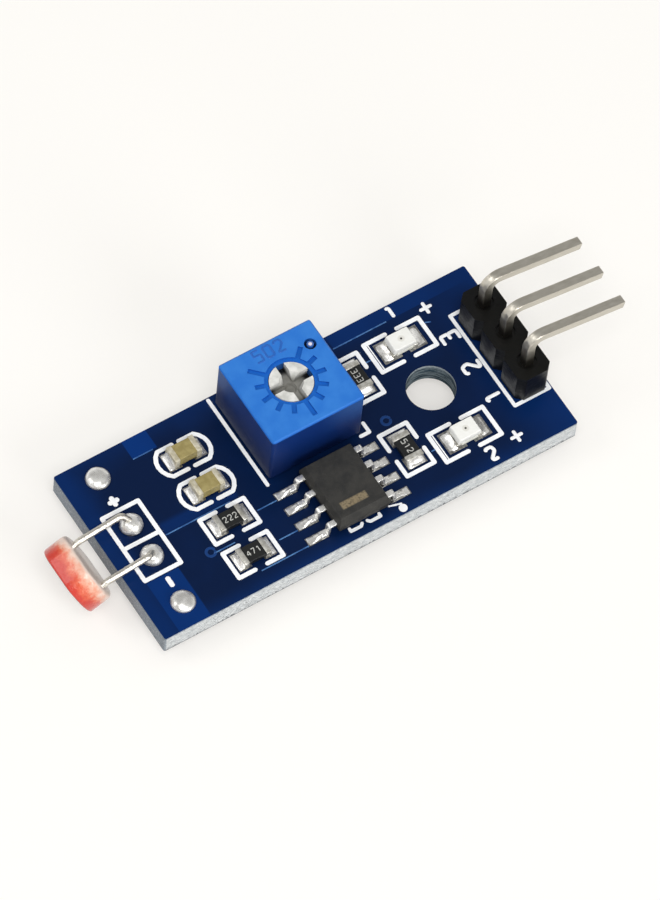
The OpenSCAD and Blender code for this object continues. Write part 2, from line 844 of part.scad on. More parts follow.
module trimmer_housing() {
    pocket_l = trimmer_l - 2 * trimmer_wall;
    pocket_w = trimmer_w - 2 * trimmer_wall;
    color([0.16, 0.42, 0.85]) at_trimmer() difference() {
        union() {
            translate([0, 0, trimmer_base]) linear_extrude(trimmer_h - foot_h)
                rounded(trimmer_l, trimmer_w, housing_r);
            for (x = SIDES, y = SIDES) translate([
                x * (trimmer_l / 2 - foot_inset - foot_w / 2) - foot_w / 2,
                y * (trimmer_w / 2 - foot_inset - foot_w / 2) - foot_w / 2,
                board_top
            ]) cube([foot_w, foot_w, foot_h + EPS]);
        }
        top_bevels();
        gate_cut();
        translate([-pocket_l / 2, -pocket_w / 2, trimmer_base - EPS])
            cube([pocket_l, pocket_w, substrate_top - trimmer_base + EPS]);
        translate([0, 0, trimmer_base]) cylinder(d = cavity_d, h = roof_z - trimmer_base, $fn = FINE_FN);
        translate([0, 0, trimmer_base]) cylinder(d = knob_d + 2 * rotor_gap, h = trimmer_h, $fn = FINE_FN);
        translate([0, 0, trimmer_top - dial_depth]) {
            cylinder(d = knob_d + 2 * dial_ring_w, h = 2 * dial_depth, $fn = FINE_FN);
            linear_extrude(2 * dial_depth) dial_marks_cut();
        }
    }
}

module trimmer_rotor() {
    color([0.8, 0.79, 0.77]) at_trimmer() difference() {
        union() {
            translate([0, 0, hub_z]) cylinder(d = hub_d, h = hub_top - hub_z, $fn = FINE_FN);
            translate([0, 0, hub_z]) cylinder(d = knob_d, h = knob_top - hub_z, $fn = FINE_FN);
        }
        for (a = [0, RIGHT]) rotate(a) translate([-knob_d, -slot_w / 2, knob_top - slot_depth])
            cube([2 * knob_d, slot_w, slot_depth + EPS]);
        translate([0, 0, knob_top - slot_dish])
            cylinder(d1 = slot_w, d2 = slot_w + 2 * slot_flare, h = slot_dish + EPS, $fn = FINE_FN);
    }
}

module trimmer_wiper() {
    dimple_d = 0.36;
    blade_w = 1;
    tail_l = 0.4;
    tip = 0.05;
    color([0.85, 0.7, 0.35]) at_trimmer() {
        translate([-tail_l, -blade_w / 2, wiper_z]) cube([tail_l + track_r[1] + tip, blade_w, wiper_t]);
        for (r = [track_r, collector_r]) translate([(r[0] + r[1]) / 2, 0, wiper_z - wiper_lift])
            cylinder(d = dimple_d, h = wiper_lift + EPS, $fn = SMALL_FN);
    }
}

// Resistive arc and the collector ring inside it
module trimmer_track() {
    open = FULL - dial_span;
    color([0.12, 0.12, 0.12]) at_trimmer(substrate_top) {
        rotate(open / 2 - RIGHT) rotate_extrude(angle = dial_span, $fn = FINE_FN)
            translate([track_r[0], 0]) square([track_r[1] - track_r[0], track_t]);
        rotate_extrude() translate([collector_r[0], 0]) square([collector_r[1] - collector_r[0], track_t]);
    }
}

// Plate inside the trimmer, as wide as the housing's pocket
module trimmer_plate(z, t) {
    at_trimmer(z) translate([trimmer_wall - trimmer_l / 2, trimmer_wall - trimmer_w / 2, 0])
        cube([trimmer_l - 2 * trimmer_wall, trimmer_w - 2 * trimmer_wall, t]);
}

module trimmer_pin_wire(n) {
    on_board(trimmer_pin_at(n)[0], trimmer_pin_at(n)[1], floor_z)
        cylinder(d = trimmer_pin_d, h = substrate_top - floor_z, $fn = WIRE_FN);
}

module trimmer_substrate() {
    color([0.93, 0.92, 0.88]) difference() {
        trimmer_plate(substrate_z, substrate_t);
        for (n = [1 : 3]) trimmer_pin_wire(n);
    }
}

module trimmer_potting() {
    color([0.1, 0.12, 0.2]) difference() {
        trimmer_plate(substrate_z - potting_t, potting_t);
        for (n = [1 : 3]) trimmer_pin_wire(n);
    }
}

module trimmer_seal_ring() {
    color([0.08, 0.08, 0.08]) at_trimmer(hub_top + ring_gap + ring_wire / 2) rotate_extrude($fn = FINE_FN)
        translate([knob_d / 2 + ring_gap + ring_wire / 2, 0]) circle(d = ring_wire, $fn = WIRE_FN);
}

module trimmer_pin(n) {
    color([0.82, 0.8, 0.74]) trimmer_pin_wire(n);
}

module trimmer_solder() {
    color([0.75, 0.75, 0.73]) for (n = [1 : 3]) difference() {
        on_board(trimmer_pin_at(n)[0], trimmer_pin_at(n)[1]) {
            plug(trimmer_hole_d);
            below() cone(trimmer_pad_d, cone_tip * trimmer_pin_d, trimmer_cone_h);
        }
        trimmer_pin_wire(n);
    }
}

// Chip leads 1 to 4 run up the header side from the dot, 5 to 8 back down the other side
module chip_place(n, z) {
    east = n <= 4;
    row = east ? n - 2.5 : 6.5 - n;
    on_board(chip_x, chip_y + row * chip_pitch, z, east ? 0 : HALF) children();
}

// Outer end of a lead's pad: the chip sits a little off its pads' middle, towards the header
function chip_pad_end(n) = chip_tip + chip_pad_show + (n <= 4 ? -chip_slip : chip_slip);

// Bent strip of one lead, from inside the body to the tip of its foot
function gull_path() =
    let (
        foot_z = chip_lead_t / 2,
        plane_z = lead_plane + chip_lead_t / 2,
        side = chip_w / 2,
        knee = side + chip_shoulder,
        heel = chip_tip - chip_foot,
        r = chip_bend_r,
        lean = 10
    )
    concat(
        [[side - chip_stub, plane_z]],
        arc([knee, plane_z - r], r, RIGHT, lean, CHIP_BEND_STEPS),
        arc([heel, foot_z + r], r, HALF + lean, FULL - RIGHT, CHIP_BEND_STEPS),
        [[chip_tip, foot_z]]
    );

module chip_lead_strip(n) {
    chip_place(n, pad_top) translate([0, chip_lead_w / 2, 0]) rotate([RIGHT, 0, 0])
        linear_extrude(chip_lead_w) polygon(strip(gull_path(), chip_lead_t));
}

// Half profile of the chip's body at one end, drafted above and below the lead plane
function drafted(w) = [
    [-w / 2 + chip_draft / 2, chip_standoff],
    [w / 2 - chip_draft / 2, chip_standoff],
    [w / 2, lead_plane],
    [w / 2, lead_plane + chip_lead_t],
    [w / 2 - chip_draft, chip_h],
    [-w / 2 + chip_draft, chip_h],
    [-w / 2, lead_plane + chip_lead_t],
    [-w / 2, lead_plane]
];

module comparator_body() {
    color([0.13, 0.12, 0.11]) difference() {
        on_board(chip_x, chip_y, pad_top) intersection() {
            translate([0, chip_l, 0]) rotate([RIGHT, 0, 0]) linear_extrude(2 * chip_l)
                polygon(drafted(chip_w));
            rotate([RIGHT, 0, RIGHT]) translate([0, 0, -chip_w]) linear_extrude(2 * chip_w)
                polygon(drafted(chip_l));
        }
        for (n = [1 : 8]) chip_lead_strip(n);
    }
}

module comparator_lead(n) {
    color([0.85, 0.84, 0.8]) chip_lead_strip(n);
}

// Fillet of solder against the end of a foot
module comparator_solder() {
    color([0.78, 0.78, 0.75]) for (n = [1 : 8]) chip_place(n, pad_top)
        translate([chip_tip, chip_lead_w / 2, 0]) rotate([RIGHT, 0, 0]) linear_extrude(chip_lead_w)
            fillet(chip_pad_end(n) - chip_tip - pad_margin, fillet_rise * chip_lead_t);
}

// Hollow-faced wedge in the corner of a pad and an upright end
module fillet(run, rise) {
    lip = 0.02;
    polygon(concat(
        [[0, 0]],
        [for (p = arc([1, 1], 1, -RIGHT, -HALF)) [lip + p[0] * run, lip + p[1] * rise]],
        [[0, lip + rise]]
    ));
}

// Core of a small part, with room for its two metal end caps
module small_core(t) {
    translate([-small_l / 2 + plate_t, -small_w / 2 + plate_t, plate_t])
        cube([small_l - 2 * plate_t, small_w - 2 * plate_t, t - 2 * plate_t]);
}

// Two five-sided metal caps over the ends of a core
module end_caps(t) {
    difference() {
        for (s = SIDES) translate([s > 0 ? small_l / 2 - cap_end : -small_l / 2, -small_w / 2, 0])
            cube([cap_end, small_w, t]);
        small_core(t);
    }
}

module at_resistor(n) {
    p = resistor_at(n);
    on_board(p[0], p[1], pad_top, p[2]) children();
}

module at_capacitor(n) {
    on_board(column_at(n)[0], column_at(n)[1], pad_top) children();
}

module at_light(n) {
    on_board(light_at(n)[0], light_at(n)[1], pad_top) children();
}

module resistor_body(n) {
    color([0.1, 0.1, 0.1]) at_resistor(n) small_core(resistor_t);
}

module resistor_ends(n) {
    color([0.85, 0.85, 0.83]) at_resistor(n) end_caps(resistor_t);
}

module capacitor_body(n) {
    color([0.66, 0.52, 0.3]) at_capacitor(n) small_core(capacitor_t);
}

module capacitor_ends(n) {
    color([0.85, 0.85, 0.83]) at_capacitor(n) end_caps(capacitor_t);
}

module light_base(n) {
    color([0.92, 0.92, 0.86]) at_light(n) translate([-small_l / 2 + cap_end, -small_w / 2, 0])
        cube([small_l - 2 * cap_end, small_w, led_base_t]);
}

module light_ends(n) {
    color([0.85, 0.85, 0.83]) at_light(n) difference() {
        for (s = SIDES) translate([s > 0 ? small_l / 2 - cap_end : -small_l / 2, -small_w / 2, 0])
            cube([cap_end, small_w, led_base_t]);
        for (s = SIDES) translate([s * small_l / 2, 0, -EPS])
            cylinder(r = notch_r, h = led_base_t + 2 * EPS, $fn = SMALL_FN);
    }
}

module die_block() {
    translate([-die_w / 2, -die_w / 2, led_base_t]) cube([die_w, die_w, die_h]);
}

module light_die(n) {
    color([0.3, 0.3, 0.28]) at_light(n) die_block();
}

module light_lens(n) {
    foot = small_l / 2 - lens_margin;
    crown = foot - lens_draft;
    color([0.95, 0.95, 0.88, 0.6]) at_light(n) difference() {
        translate([0, small_w / 2, led_base_t]) rotate([RIGHT, 0, 0]) linear_extrude(small_w)
            polygon([[-foot, 0], [foot, 0], [crown, led_lens_h], [-crown, led_lens_h]]);
        die_block();
    }
}

// Solder fillets at both ends of one small part
module end_fillets(out, t) {
    for (s = SIDES) rotate(s > 0 ? 0 : HALF) translate([small_l / 2, small_w / 2, 0]) rotate([RIGHT, 0, 0])
        linear_extrude(small_w) fillet(out - small_l / 2 - pad_margin, min(fillet_rise * t, fillet_h));
}

module small_part_solder() {
    color([0.78, 0.78, 0.75]) {
        for (n = [1 : 4]) at_resistor(n) end_fillets(small_pad_out, resistor_t);
        for (n = [1 : 2]) at_capacitor(n) end_fillets(small_pad_out, capacitor_t);
        for (n = [1 : 2]) at_light(n) end_fillets(led_pad_out, led_base_t);
    }
}

// One chamfered segment of the header block, seen from above
module segment() {
    w = header_w / 2;
    p = header_pitch / 2;
    c = header_cut;
    polygon([
        [-w, -p + c], [-w + c, -p], [w - c, -p], [w, -p + c],
        [w, p - c], [w - c, p], [-w + c, p], [-w, p - c]
    ]);
}

module header_block() {
    color([0.07, 0.065, 0.06]) difference() {
        for (n = [1 : 3]) on_board(header_pin_at(n)[0], header_pin_at(n)[1], block_z)
            linear_extrude(header_h) segment();
        for (n = [1 : 3]) on_board(header_pin_at(n)[0], header_pin_at(n)[1]) {
            translate([-pin_t / 2, -pin_t / 2, 0]) cube([pin_t, pin_t, block_top + EPS]);
            translate([0, 0, block_top - recess_h]) cylinder(d = recess_d, h = 2 * recess_h);
        }
    }
}

// Middle line of a pin: up through the block, over the bend and out past the board's edge
function pin_path() =
    let (
        knee = [pin_bend_r, block_top + pin_rise],
        bent = arc(knee, pin_bend_r, HALF, RIGHT - pin_droop, PIN_BEND_STEPS),
        end = bent[len(bent) - 1]
    )
    concat([[0, floor_z]], bent, [end + pin_free * [cos(pin_droop), -sin(pin_droop)]]);

// Four slopes cut from the end of a square pin
module tip_cut() {
    tip_in = 0.2;
    tip_l = 0.4;
    cutter = 1;
    for (a = [0 : RIGHT : FULL - 1]) rotate([a, 0, 0]) translate([0, 0, pin_t / 2])
        rotate([0, atan2(tip_in, tip_l), 0]) translate([-tip_l, -pin_t, 0])
            cube([cutter, 2 * pin_t, cutter]);
}

module header_pin_bar(n) {
    path = pin_path();
    end = path[len(path) - 1];
    on_board(header_pin_at(n)[0], header_pin_at(n)[1]) difference() {
        translate([0, pin_t / 2, 0]) rotate([RIGHT, 0, 0]) linear_extrude(pin_t)
            polygon(strip(path, pin_t));
        translate([end[0], 0, end[1]]) rotate([0, pin_droop, 0]) tip_cut();
        translate([0, 0, floor_z]) rotate([0, RIGHT, 0]) tip_cut();
    }
}

module header_pin(n) {
    color([0.78, 0.74, 0.66]) header_pin_bar(n);
}

module header_solder() {
    color([0.75, 0.75, 0.73]) for (n = [1 : 3]) difference() {
        on_board(header_pin_at(n)[0], header_pin_at(n)[1]) {
            plug(pin_hole_d);
            below() cone(header_pad_d, pin_cone_tip * pin_t, pin_cone_h);
        }
        header_pin_bar(n);
    }
}

circuit_board();
legend_print();
top_pads();
bottom_pads();
sensor_disc();
sensor_film();
sensor_electrodes();
sensor_coating();
for (n = [1 : 2]) sensor_lead(n);
sensor_solder();
corner_solder();
trimmer_housing();
trimmer_rotor();
trimmer_wiper();
trimmer_track();
trimmer_substrate();
trimmer_potting();
trimmer_seal_ring();
trimmer_solder();
for (n = [1 : 3]) trimmer_pin(n);
comparator_body();
comparator_solder();
for (n = [1 : 8]) comparator_lead(n);
for (n = [1 : 4]) resistor_body(n);
for (n = [1 : 4]) resistor_ends(n);
for (n = [1 : 2]) capacitor_body(n);
for (n = [1 : 2]) capacitor_ends(n);
for (n = [1 : 2]) light_base(n);
for (n = [1 : 2]) light_ends(n);
for (n = [1 : 2]) light_die(n);
for (n = [1 : 2]) light_lens(n);
small_part_solder();
header_block();
header_solder();
for (n = [1 : 3]) header_pin(n);
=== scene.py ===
import math

import bmesh
import bpy
from mathutils import Matrix, Vector, noise as cloud_noise


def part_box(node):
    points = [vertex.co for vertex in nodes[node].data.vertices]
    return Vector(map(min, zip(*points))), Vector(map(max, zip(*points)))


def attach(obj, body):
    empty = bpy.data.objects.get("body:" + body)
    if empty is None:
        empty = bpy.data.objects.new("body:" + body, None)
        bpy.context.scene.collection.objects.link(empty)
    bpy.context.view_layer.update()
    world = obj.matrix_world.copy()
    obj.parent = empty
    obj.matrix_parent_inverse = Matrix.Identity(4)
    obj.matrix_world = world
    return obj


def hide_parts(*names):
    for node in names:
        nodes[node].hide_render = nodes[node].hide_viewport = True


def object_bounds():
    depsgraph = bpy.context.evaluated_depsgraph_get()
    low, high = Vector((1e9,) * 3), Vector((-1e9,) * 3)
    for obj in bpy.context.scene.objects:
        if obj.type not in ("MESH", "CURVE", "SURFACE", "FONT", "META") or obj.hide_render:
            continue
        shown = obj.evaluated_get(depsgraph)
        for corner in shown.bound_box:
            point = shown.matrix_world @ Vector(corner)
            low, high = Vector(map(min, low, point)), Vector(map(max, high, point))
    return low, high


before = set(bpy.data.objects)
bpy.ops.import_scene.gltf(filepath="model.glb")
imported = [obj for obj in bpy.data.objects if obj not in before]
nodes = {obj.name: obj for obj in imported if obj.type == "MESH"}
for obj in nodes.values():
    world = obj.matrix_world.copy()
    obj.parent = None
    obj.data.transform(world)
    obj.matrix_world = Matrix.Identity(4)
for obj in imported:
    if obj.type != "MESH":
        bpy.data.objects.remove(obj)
cad_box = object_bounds()

# Camera.
# It stands where the photograph was taken from, high over the sensor's end of the board,
# and leans a little to one side. The board's middle, on its top face, is the point it is set by.
MM = 0.001
BOARD_MIDDLE = Vector((-8.83, -0.15, 1.6)) * MM
AZIMUTH = math.radians(-38.364)
ELEVATION = math.radians(60.229)
ROLL = math.radians(6.981)
CAMERA_DISTANCE = 500 * MM
CAMERA_ASIDE = 0.850 * MM
CAMERA_UP = -0.010 * MM
FOCAL_PIXELS = 7792.6
PICTURE_HEIGHT = 900
SENSOR_SIZE = 36
NEAREST_SEEN = 10 * MM

away = Vector((
    math.sin(AZIMUTH) * math.cos(ELEVATION),
    -math.cos(AZIMUTH) * math.cos(ELEVATION),
    math.sin(ELEVATION),
))
level_right = Vector((0, 0, 1)).cross(away).normalized()
level_up = away.cross(level_right)
camera_right = level_right * math.cos(ROLL) + level_up * math.sin(ROLL)
camera_up = level_up * math.cos(ROLL) - level_right * math.sin(ROLL)
camera_data = bpy.data.cameras.new("camera")
camera_data.sensor_width = SENSOR_SIZE
camera_data.lens = FOCAL_PIXELS / PICTURE_HEIGHT * SENSOR_SIZE
camera_data.clip_start = NEAREST_SEEN
camera = bpy.data.objects.new("camera", camera_data)
bpy.context.scene.collection.objects.link(camera)
turn = Matrix((camera_right, camera_up, away)).transposed().to_4x4()
eye = BOARD_MIDDLE + away * CAMERA_DISTANCE + camera_right * CAMERA_ASIDE + camera_up * CAMERA_UP
camera.matrix_world = Matrix.Translation(eye) @ turn
bpy.context.scene.camera = camera
bpy.context.scene.view_settings.view_transform = "Standard"

# Studio.
# A pale table under soft lamps. The main lamp stands high over the sensor's end, on the camera's
# side, and the ceiling opposite the camera is dark, so that the lacquer stays deep.


class Link:
    """One output of a node tree, which takes Python's operators."""

    def __init__(self, tree, socket=None):
        self.tree = tree
        self.socket = socket

    def node(self, kind, settings=None, values=None, output=0):
        """Any node: its type, its settings, and the values or links of its sockets."""
        made = self.tree.nodes.new(kind)
        for name, value in (settings or {}).items():
            setattr(made, name, value)
        for name, value in (values or {}).items():
            if isinstance(value, Link):
                self.tree.links.new(value.socket, made.inputs[name])
            else:
                made.inputs[name].default_value = value
        return None if output is None else Link(self.tree, made.outputs[output])

    def math(self, operation, *values):
        return self.node("ShaderNodeMath", {"operation": operation}, dict(enumerate(values)))

    def __add__(self, other):
        return self.math("ADD", self, other)

    def __sub__(self, other):
        return self.math("SUBTRACT", self, other)

    def __rsub__(self, other):
        return self.math("SUBTRACT", other, self)

    def __mul__(self, other):
        return self.math("MULTIPLY", self, other)

    def __truediv__(self, other):
        return self.math("DIVIDE", self, other)

    def __abs__(self):
        return self.math("ABSOLUTE", self)

    __radd__ = __add__
    __rmul__ = __mul__

    def largest(self, other):
        return self.math("MAXIMUM", self, other)

    def root(self):
        return self.math("SQRT", self)

    def rise(self, low, high):
        """0 below low, 1 above high, and a smooth step between them."""
        values = {"Value": self, "From Min": low, "From Max": high}
        return self.node("ShaderNodeMapRange", {"interpolation_type": "SMOOTHSTEP"}, values)

    def mix(self, factor, first, second):
        """A colour between two colours."""
        return self.node("ShaderNodeMix", {"data_type": "RGBA"}, {0: factor, 6: first, 7: second}, 2)


def shade(red, green, blue):
    """A colour as it shows on the screen, from 0 to 255, made linear."""
    parts = [c / 255 for c in (red, green, blue)]
    return tuple(c / 12.92 if c <= 0.04045 else ((c + 0.055) / 1.055) ** 2.4 for c in parts) + (1,)


LAMP_DISTANCE = 0.5


def softbox(name, direction, size, power):
    """A round lamp that faces the board's middle, from a direction."""
    data = bpy.data.lights.new(name, "AREA")
    data.shape = "DISK"
    data.size = size
    data.energy = power
    lamp = bpy.data.objects.new(name, data)
    lamp.location = BOARD_MIDDLE + Vector(direction).normalized() * LAMP_DISTANCE
    lamp.rotation_euler = Vector(direction).to_track_quat("Z", "Y").to_euler()
    bpy.context.scene.collection.objects.link(lamp)


def rays(start):
    """1 for a ray from the camera, one off a glossy surface, and one through a clear piece."""
    return [
        start.node("ShaderNodeLightPath", output=f"Is {kind} Ray")
        for kind in ("Camera", "Glossy", "Transmission")
    ]


TABLE_SIZE = 3.0
table_z = cad_box[0][2]
table_mesh = bpy.data.meshes.new("table")
half = TABLE_SIZE / 2
table_mesh.from_pydata(
    [(-half, -half, table_z), (half, -half, table_z), (half, half, table_z), (-half, half, table_z)],
    [], [(0, 1, 2, 3)],
)
table = bpy.data.objects.new("table", table_mesh)
bpy.context.scene.collection.objects.link(table)
table_paint = bpy.data.materials.new("table_paper")
table_paint.use_nodes = True
table_paint.node_tree.nodes.clear()
paper = Link(table_paint.node_tree)
camera_ray, glossy_ray, through_ray = rays(paper)
seen = camera_ray.largest(glossy_ray).largest(through_ray)
PAPER_GLOW = 0.50
glow = paper.node("ShaderNodeEmission", None, {
    "Color": shade(255, 252, 247), "Strength": seen * PAPER_GLOW,
})
matt = paper.node("ShaderNodeBsdfDiffuse", None, {"Color": shade(186, 185, 182)})
both = paper.node("ShaderNodeAddShader", None, {0: glow, 1: matt})
paper.node("ShaderNodeOutputMaterial", None, {"Surface": both}, None)
table_mesh.materials.append(table_paint)

world = bpy.data.worlds.new("room")
bpy.context.scene.world = world
world.use_nodes = True
world.node_tree.nodes.clear()
room = Link(world.node_tree)
direction = room.node("ShaderNodeTexCoord", output="Generated")
height = room.node("ShaderNodeSeparateXYZ", None, {0: direction}, "Z")
camera_ray, glossy_ray, through_ray = rays(room)
ROOM_LIGHT = 0.42
CEILING_LIGHT = 0.20
CEILING_STARTS = 0.15
CEILING_WHOLE = 0.75
mirrored = 1.0 - height.rise(CEILING_STARTS, CEILING_WHOLE) * (1 - CEILING_LIGHT)
strength = camera_ray.largest(through_ray).largest(glossy_ray * mirrored).largest(ROOM_LIGHT)
back = room.node("ShaderNodeBackground", None, {"Color": (1, 1, 1, 1), "Strength": strength})
room.node("ShaderNodeOutputWorld", None, {"Surface": back}, None)

softbox("lamp_main", direction=(-0.24, -0.40, 0.88), size=0.26, power=1.20)
softbox("lamp_side", direction=(-0.62, 0.35, 0.70), size=0.22, power=0.35)
softbox("lamp_edge", direction=(0.15, -0.90, 0.40), size=0.25, power=0.95)


def finish(name, constants):
    """A new material: its constants, the shader, and the place on the piece in millimetres."""
    material = bpy.data.materials.new(name)
    material.use_nodes = True
    shader = material.node_tree.nodes["Principled BSDF"]
    for socket, value in constants.items():
        shader.inputs[socket].default_value = value
    start = Link(material.node_tree)
    coordinates = start.node("ShaderNodeTexCoord", output="Object")
    place = start.node(
        "ShaderNodeVectorMath", {"operation": "SCALE"}, {0: coordinates, "Scale": 1 / MM}
    )
    return material, shader, place


def along(place):
    """The three lengths of a place."""
    return [place.node("ShaderNodeSeparateXYZ", None, {0: place}, axis) for axis in "XYZ"]


def noise(place, scale, detail=3, roughness=0.5):
    values = {"Vector": place, "Scale": scale, "Detail": detail, "Roughness": roughness}
    return place.node("ShaderNodeTexNoise", None, values)


def facing(place, axis):
    """How far the surface faces along one axis, from -1 to 1."""
    normal = place.node("ShaderNodeNewGeometry", output="Normal")
    return place.node("ShaderNodeSeparateXYZ", None, {0: normal}, axis)


def stretched(place, factors):
    """A place with each of its lengths times a factor, for a pattern drawn out one way."""
    return place.node("ShaderNodeVectorMath", {"operation": "MULTIPLY"}, {0: place, 1: factors})


def put(shader, socket, link):
    link.tree.links.new(link.socket, shader.inputs[socket])


def bump(shader, height, depth):
    """Small relief: a height of 1 stands depth millimetres proud."""
    values = {"Height": height, "Distance": depth * MM}
    put(shader, "Normal", height.node("ShaderNodeBump", None, values))


def dress(material, *names):
    """Gives CAD pieces their finish."""
    for name in names:
        piece = nodes[name].data
        piece.materials.clear()
        piece.materials.append(material)


def span(name):
    """Lowest and highest corner of a CAD piece, in millimetres."""
    low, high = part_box(name)
    return Vector(low) / MM, Vector(high) / MM


def middle_of(name):
    """The middle of a CAD piece, in millimetres."""
    low, high = span(name)
    return (low + high) / 2


def window(x, y, corners, blur):
    """1 inside a rectangle of the board, fading over a blur at its sides."""
    left, near, right, far = corners
    inside = x.rise(left - blur, left + blur) * (1 - x.rise(right - blur, right + blur))
    return inside * y.rise(near - blur, near + blur) * (1 - y.rise(far - blur, far + blur))


board_low, board_high = span("circuit_board")
BOARD_TOP = board_high.z
HOLE_WALL_R = 1.9
SHARP = 0.04
SOFT = 0.25
COPPER_AREAS = [
    ((-23.40, -9, -21.03, -2.95), SHARP, 0.72),
    ((-19.39, 5.21, -17.57, 9), SHARP, 0.95),
    ((-20.49, -0.56, -15.0, 0.3), SOFT, 0.42),
    ((-3.9, 5.65, 9, 9), SHARP, 0.50),
]

lacquer, shader, place = finish("blue_lacquer_board", {"IOR": 1.5, "Specular IOR Level": 0.10})
x, y, z = along(place)

# The face is brighter near the board's ends and sides, and over each area of copper.
copper = (1 - x.rise(board_low.x + 0.3, board_low.x + 2.5)) * 0.42
copper = copper.largest(x.rise(board_high.x - 5.5, board_high.x + 1.0) * 0.55)
copper = copper.largest(y.rise(board_high.y - 2.4, board_high.y + 1.2) * 0.40)
copper = copper.largest((1 - y.rise(board_low.y - 0.8, board_low.y + 1.3)) * 0.50)
for corners, blur, brightness in COPPER_AREAS:
    copper = copper.largest(window(x, y, corners, blur) * brightness)
cloudy = noise(place, 0.30, 2)
copper = (copper + (cloudy - 0.5) * 0.30).largest(0.0)
face = place.mix(copper, shade(6, 26, 61), shade(4, 50, 117))

# The cut edge has drawn-out fibres and flecks, darker crumbs along its foot, and a blue skin under its
# top.
# A thin dark line along its very foot is painted shade, and the end under the sensor is greyer.
fibre_place = stretched(place, (1, 1, 3.2))
fibre = noise(fibre_place, 3.2, 5, 0.62)
fleck = noise(fibre_place, 7.5, 3, 0.6).rise(0.56, 0.64)
edge = place.mix(fibre.rise(0.36, 0.66), shade(206, 211, 213), shade(246, 248, 248))
edge = place.mix(fleck * 0.8, edge, shade(254, 254, 254))
crumbs = noise(stretched(place, (1, 1, 0.6)), 4.6, 3, 0.6).rise(0.50, 0.60)
edge = place.mix((1 - z.rise(0.06, 0.34)) * crumbs * 0.85, edge, shade(84, 88, 92))
# Painted shade: a thin dark line along the very foot of the edge.
edge = place.mix((1 - z.rise(0.02, 0.12)) * 0.8, edge, shade(70, 76, 84))
sensor_end = (1 - x.rise(board_low.x + 0.05, board_low.x + 0.2)) * (1 - fleck * 0.8)
edge = place.mix(sensor_end * 0.8, edge, shade(134, 146, 158))
skin = z.rise(BOARD_TOP - 0.20, BOARD_TOP - 0.06)
edge = place.mix(skin * 0.6, edge, shade(92, 118, 146))

# The hole, which is at the frame's origin, has a darker drilled wall, striped by the sheet's layers.
from_hole = (x * x + y * y).root()
stripe = noise(stretched(place, (0.5, 0.5, 4.5)), 1.5, 3, 0.6).rise(0.42, 0.58)
wall = place.mix(stripe, shade(46, 66, 78), shade(128, 142, 148))
wall = place.mix(z.rise(1.25, 1.55), wall, shade(176, 186, 190))
edge = place.mix(1 - from_hole.rise(HOLE_WALL_R - 0.1, HOLE_WALL_R), edge, wall)
is_edge = 1 - abs(facing(place, "Z")).rise(0.4, 0.6)
fine = noise(place, 9, 3)
put(shader, "Base Color", place.mix(is_edge, face, edge))
put(shader, "Roughness", 0.30 + is_edge * 0.36 + (fine - 0.5) * 0.06)
bump(shader, (fibre * 0.6 + fleck * 0.4) * is_edge + (fine - 0.5) * 0.03, 0.10)
dress(lacquer, "circuit_board")

# Copper tracks.
# Tracks etched in the copper stand a hair proud under the lacquer. Their pale colour is a painted
# highlight along their edges, drawn as fine pale lines. Two plated vias join the board's faces, and the
# lacquer covers them.


def add_socket(tree, name, kind, value=None):
    socket = tree.interface.new_socket(name, in_out="INPUT", socket_type=kind)
    if value is not None:
        socket.default_value = value
    return socket.identifier


BEAD_SIDES = 12
CORNER_STEPS = 4
STEP_SHARE_OF_WIDTH = 0.14
BLUNT_END = 0.003


def stroke_tree():
    """Lines laid down as flat beads with round ends, such as ink or a track."""
    tree = bpy.data.node_groups.new("laid_line", "GeometryNodeTree")
    tree.interface.new_socket("Lines", in_out="INPUT", socket_type="NodeSocketGeometry")
    sockets = {
        "Width": add_socket(tree, "Width", "NodeSocketFloat", 0.3 * MM),
        "Thickness": add_socket(tree, "Thickness", "NodeSocketFloat", 0.03 * MM),
        "Corner radius": add_socket(tree, "Corner radius", "NodeSocketFloat", 0.1 * MM),
        "Base height": add_socket(tree, "Base height", "NodeSocketFloat", 0.0),
        "Finish": add_socket(tree, "Finish", "NodeSocketMaterial"),
    }
    tree.interface.new_socket("Beads", in_out="OUTPUT", socket_type="NodeSocketGeometry")
    start = Link(tree)
    given = tree.nodes.new("NodeGroupInput")
    lines, width, thickness, corner, base, paint = [Link(tree, given.outputs[n]) for n in range(6)]
    curve = start.node("GeometryNodeMeshToCurve", None, {"Mesh": lines})
    curve = start.node("GeometryNodeFilletCurve", {"mode": "POLY"}, {
        "Curve": curve, "Count": CORNER_STEPS, "Radius": corner, "Limit Radius": True,
    })
    curve = start.node("GeometryNodeResampleCurve", {"mode": "LENGTH"}, {
        "Curve": curve, "Length": width * STEP_SHARE_OF_WIDTH,
    })
    half_width = width * 0.5
    so_far = start.node("GeometryNodeSplineParameter", output="Length")
    whole = start.node("GeometryNodeSplineLength")
    to_end = so_far.math("MINIMUM", so_far, whole - so_far) / half_width
    inward = (1 - to_end).largest(0.0)
    round_end = (1 - inward * inward).largest(BLUNT_END).root()
    profile = start.node("GeometryNodeCurvePrimitiveCircle", {"mode": "RADIUS"}, {
        "Resolution": BEAD_SIDES, "Radius": half_width,
    })
    bead = start.node("GeometryNodeCurveToMesh", None, {
        "Curve": curve, "Profile Curve": profile, "Scale": round_end, "Fill Caps": True,
    })
    x, y, z = along(start.node("GeometryNodeInputPosition"))
    low = (z - base).largest(0.0) * thickness / half_width + base
    laid = start.node("ShaderNodeCombineXYZ", None, {"X": x, "Y": y, "Z": low})
    bead = start.node("GeometryNodeSetPosition", None, {"Geometry": bead, "Position": laid})
    bead = start.node("GeometryNodeMergeByDistance", None, {"Geometry": bead, "Distance": 1e-6})
    bead = start.node("GeometryNodeRealizeInstances", None, {"Geometry": bead})
    bead = start.node("GeometryNodeSetMaterial", None, {"Geometry": bead, "Material": paint})
    start.node("NodeGroupOutput", None, {"Beads": bead}, None)
    return tree, sockets


laid_line = stroke_tree()


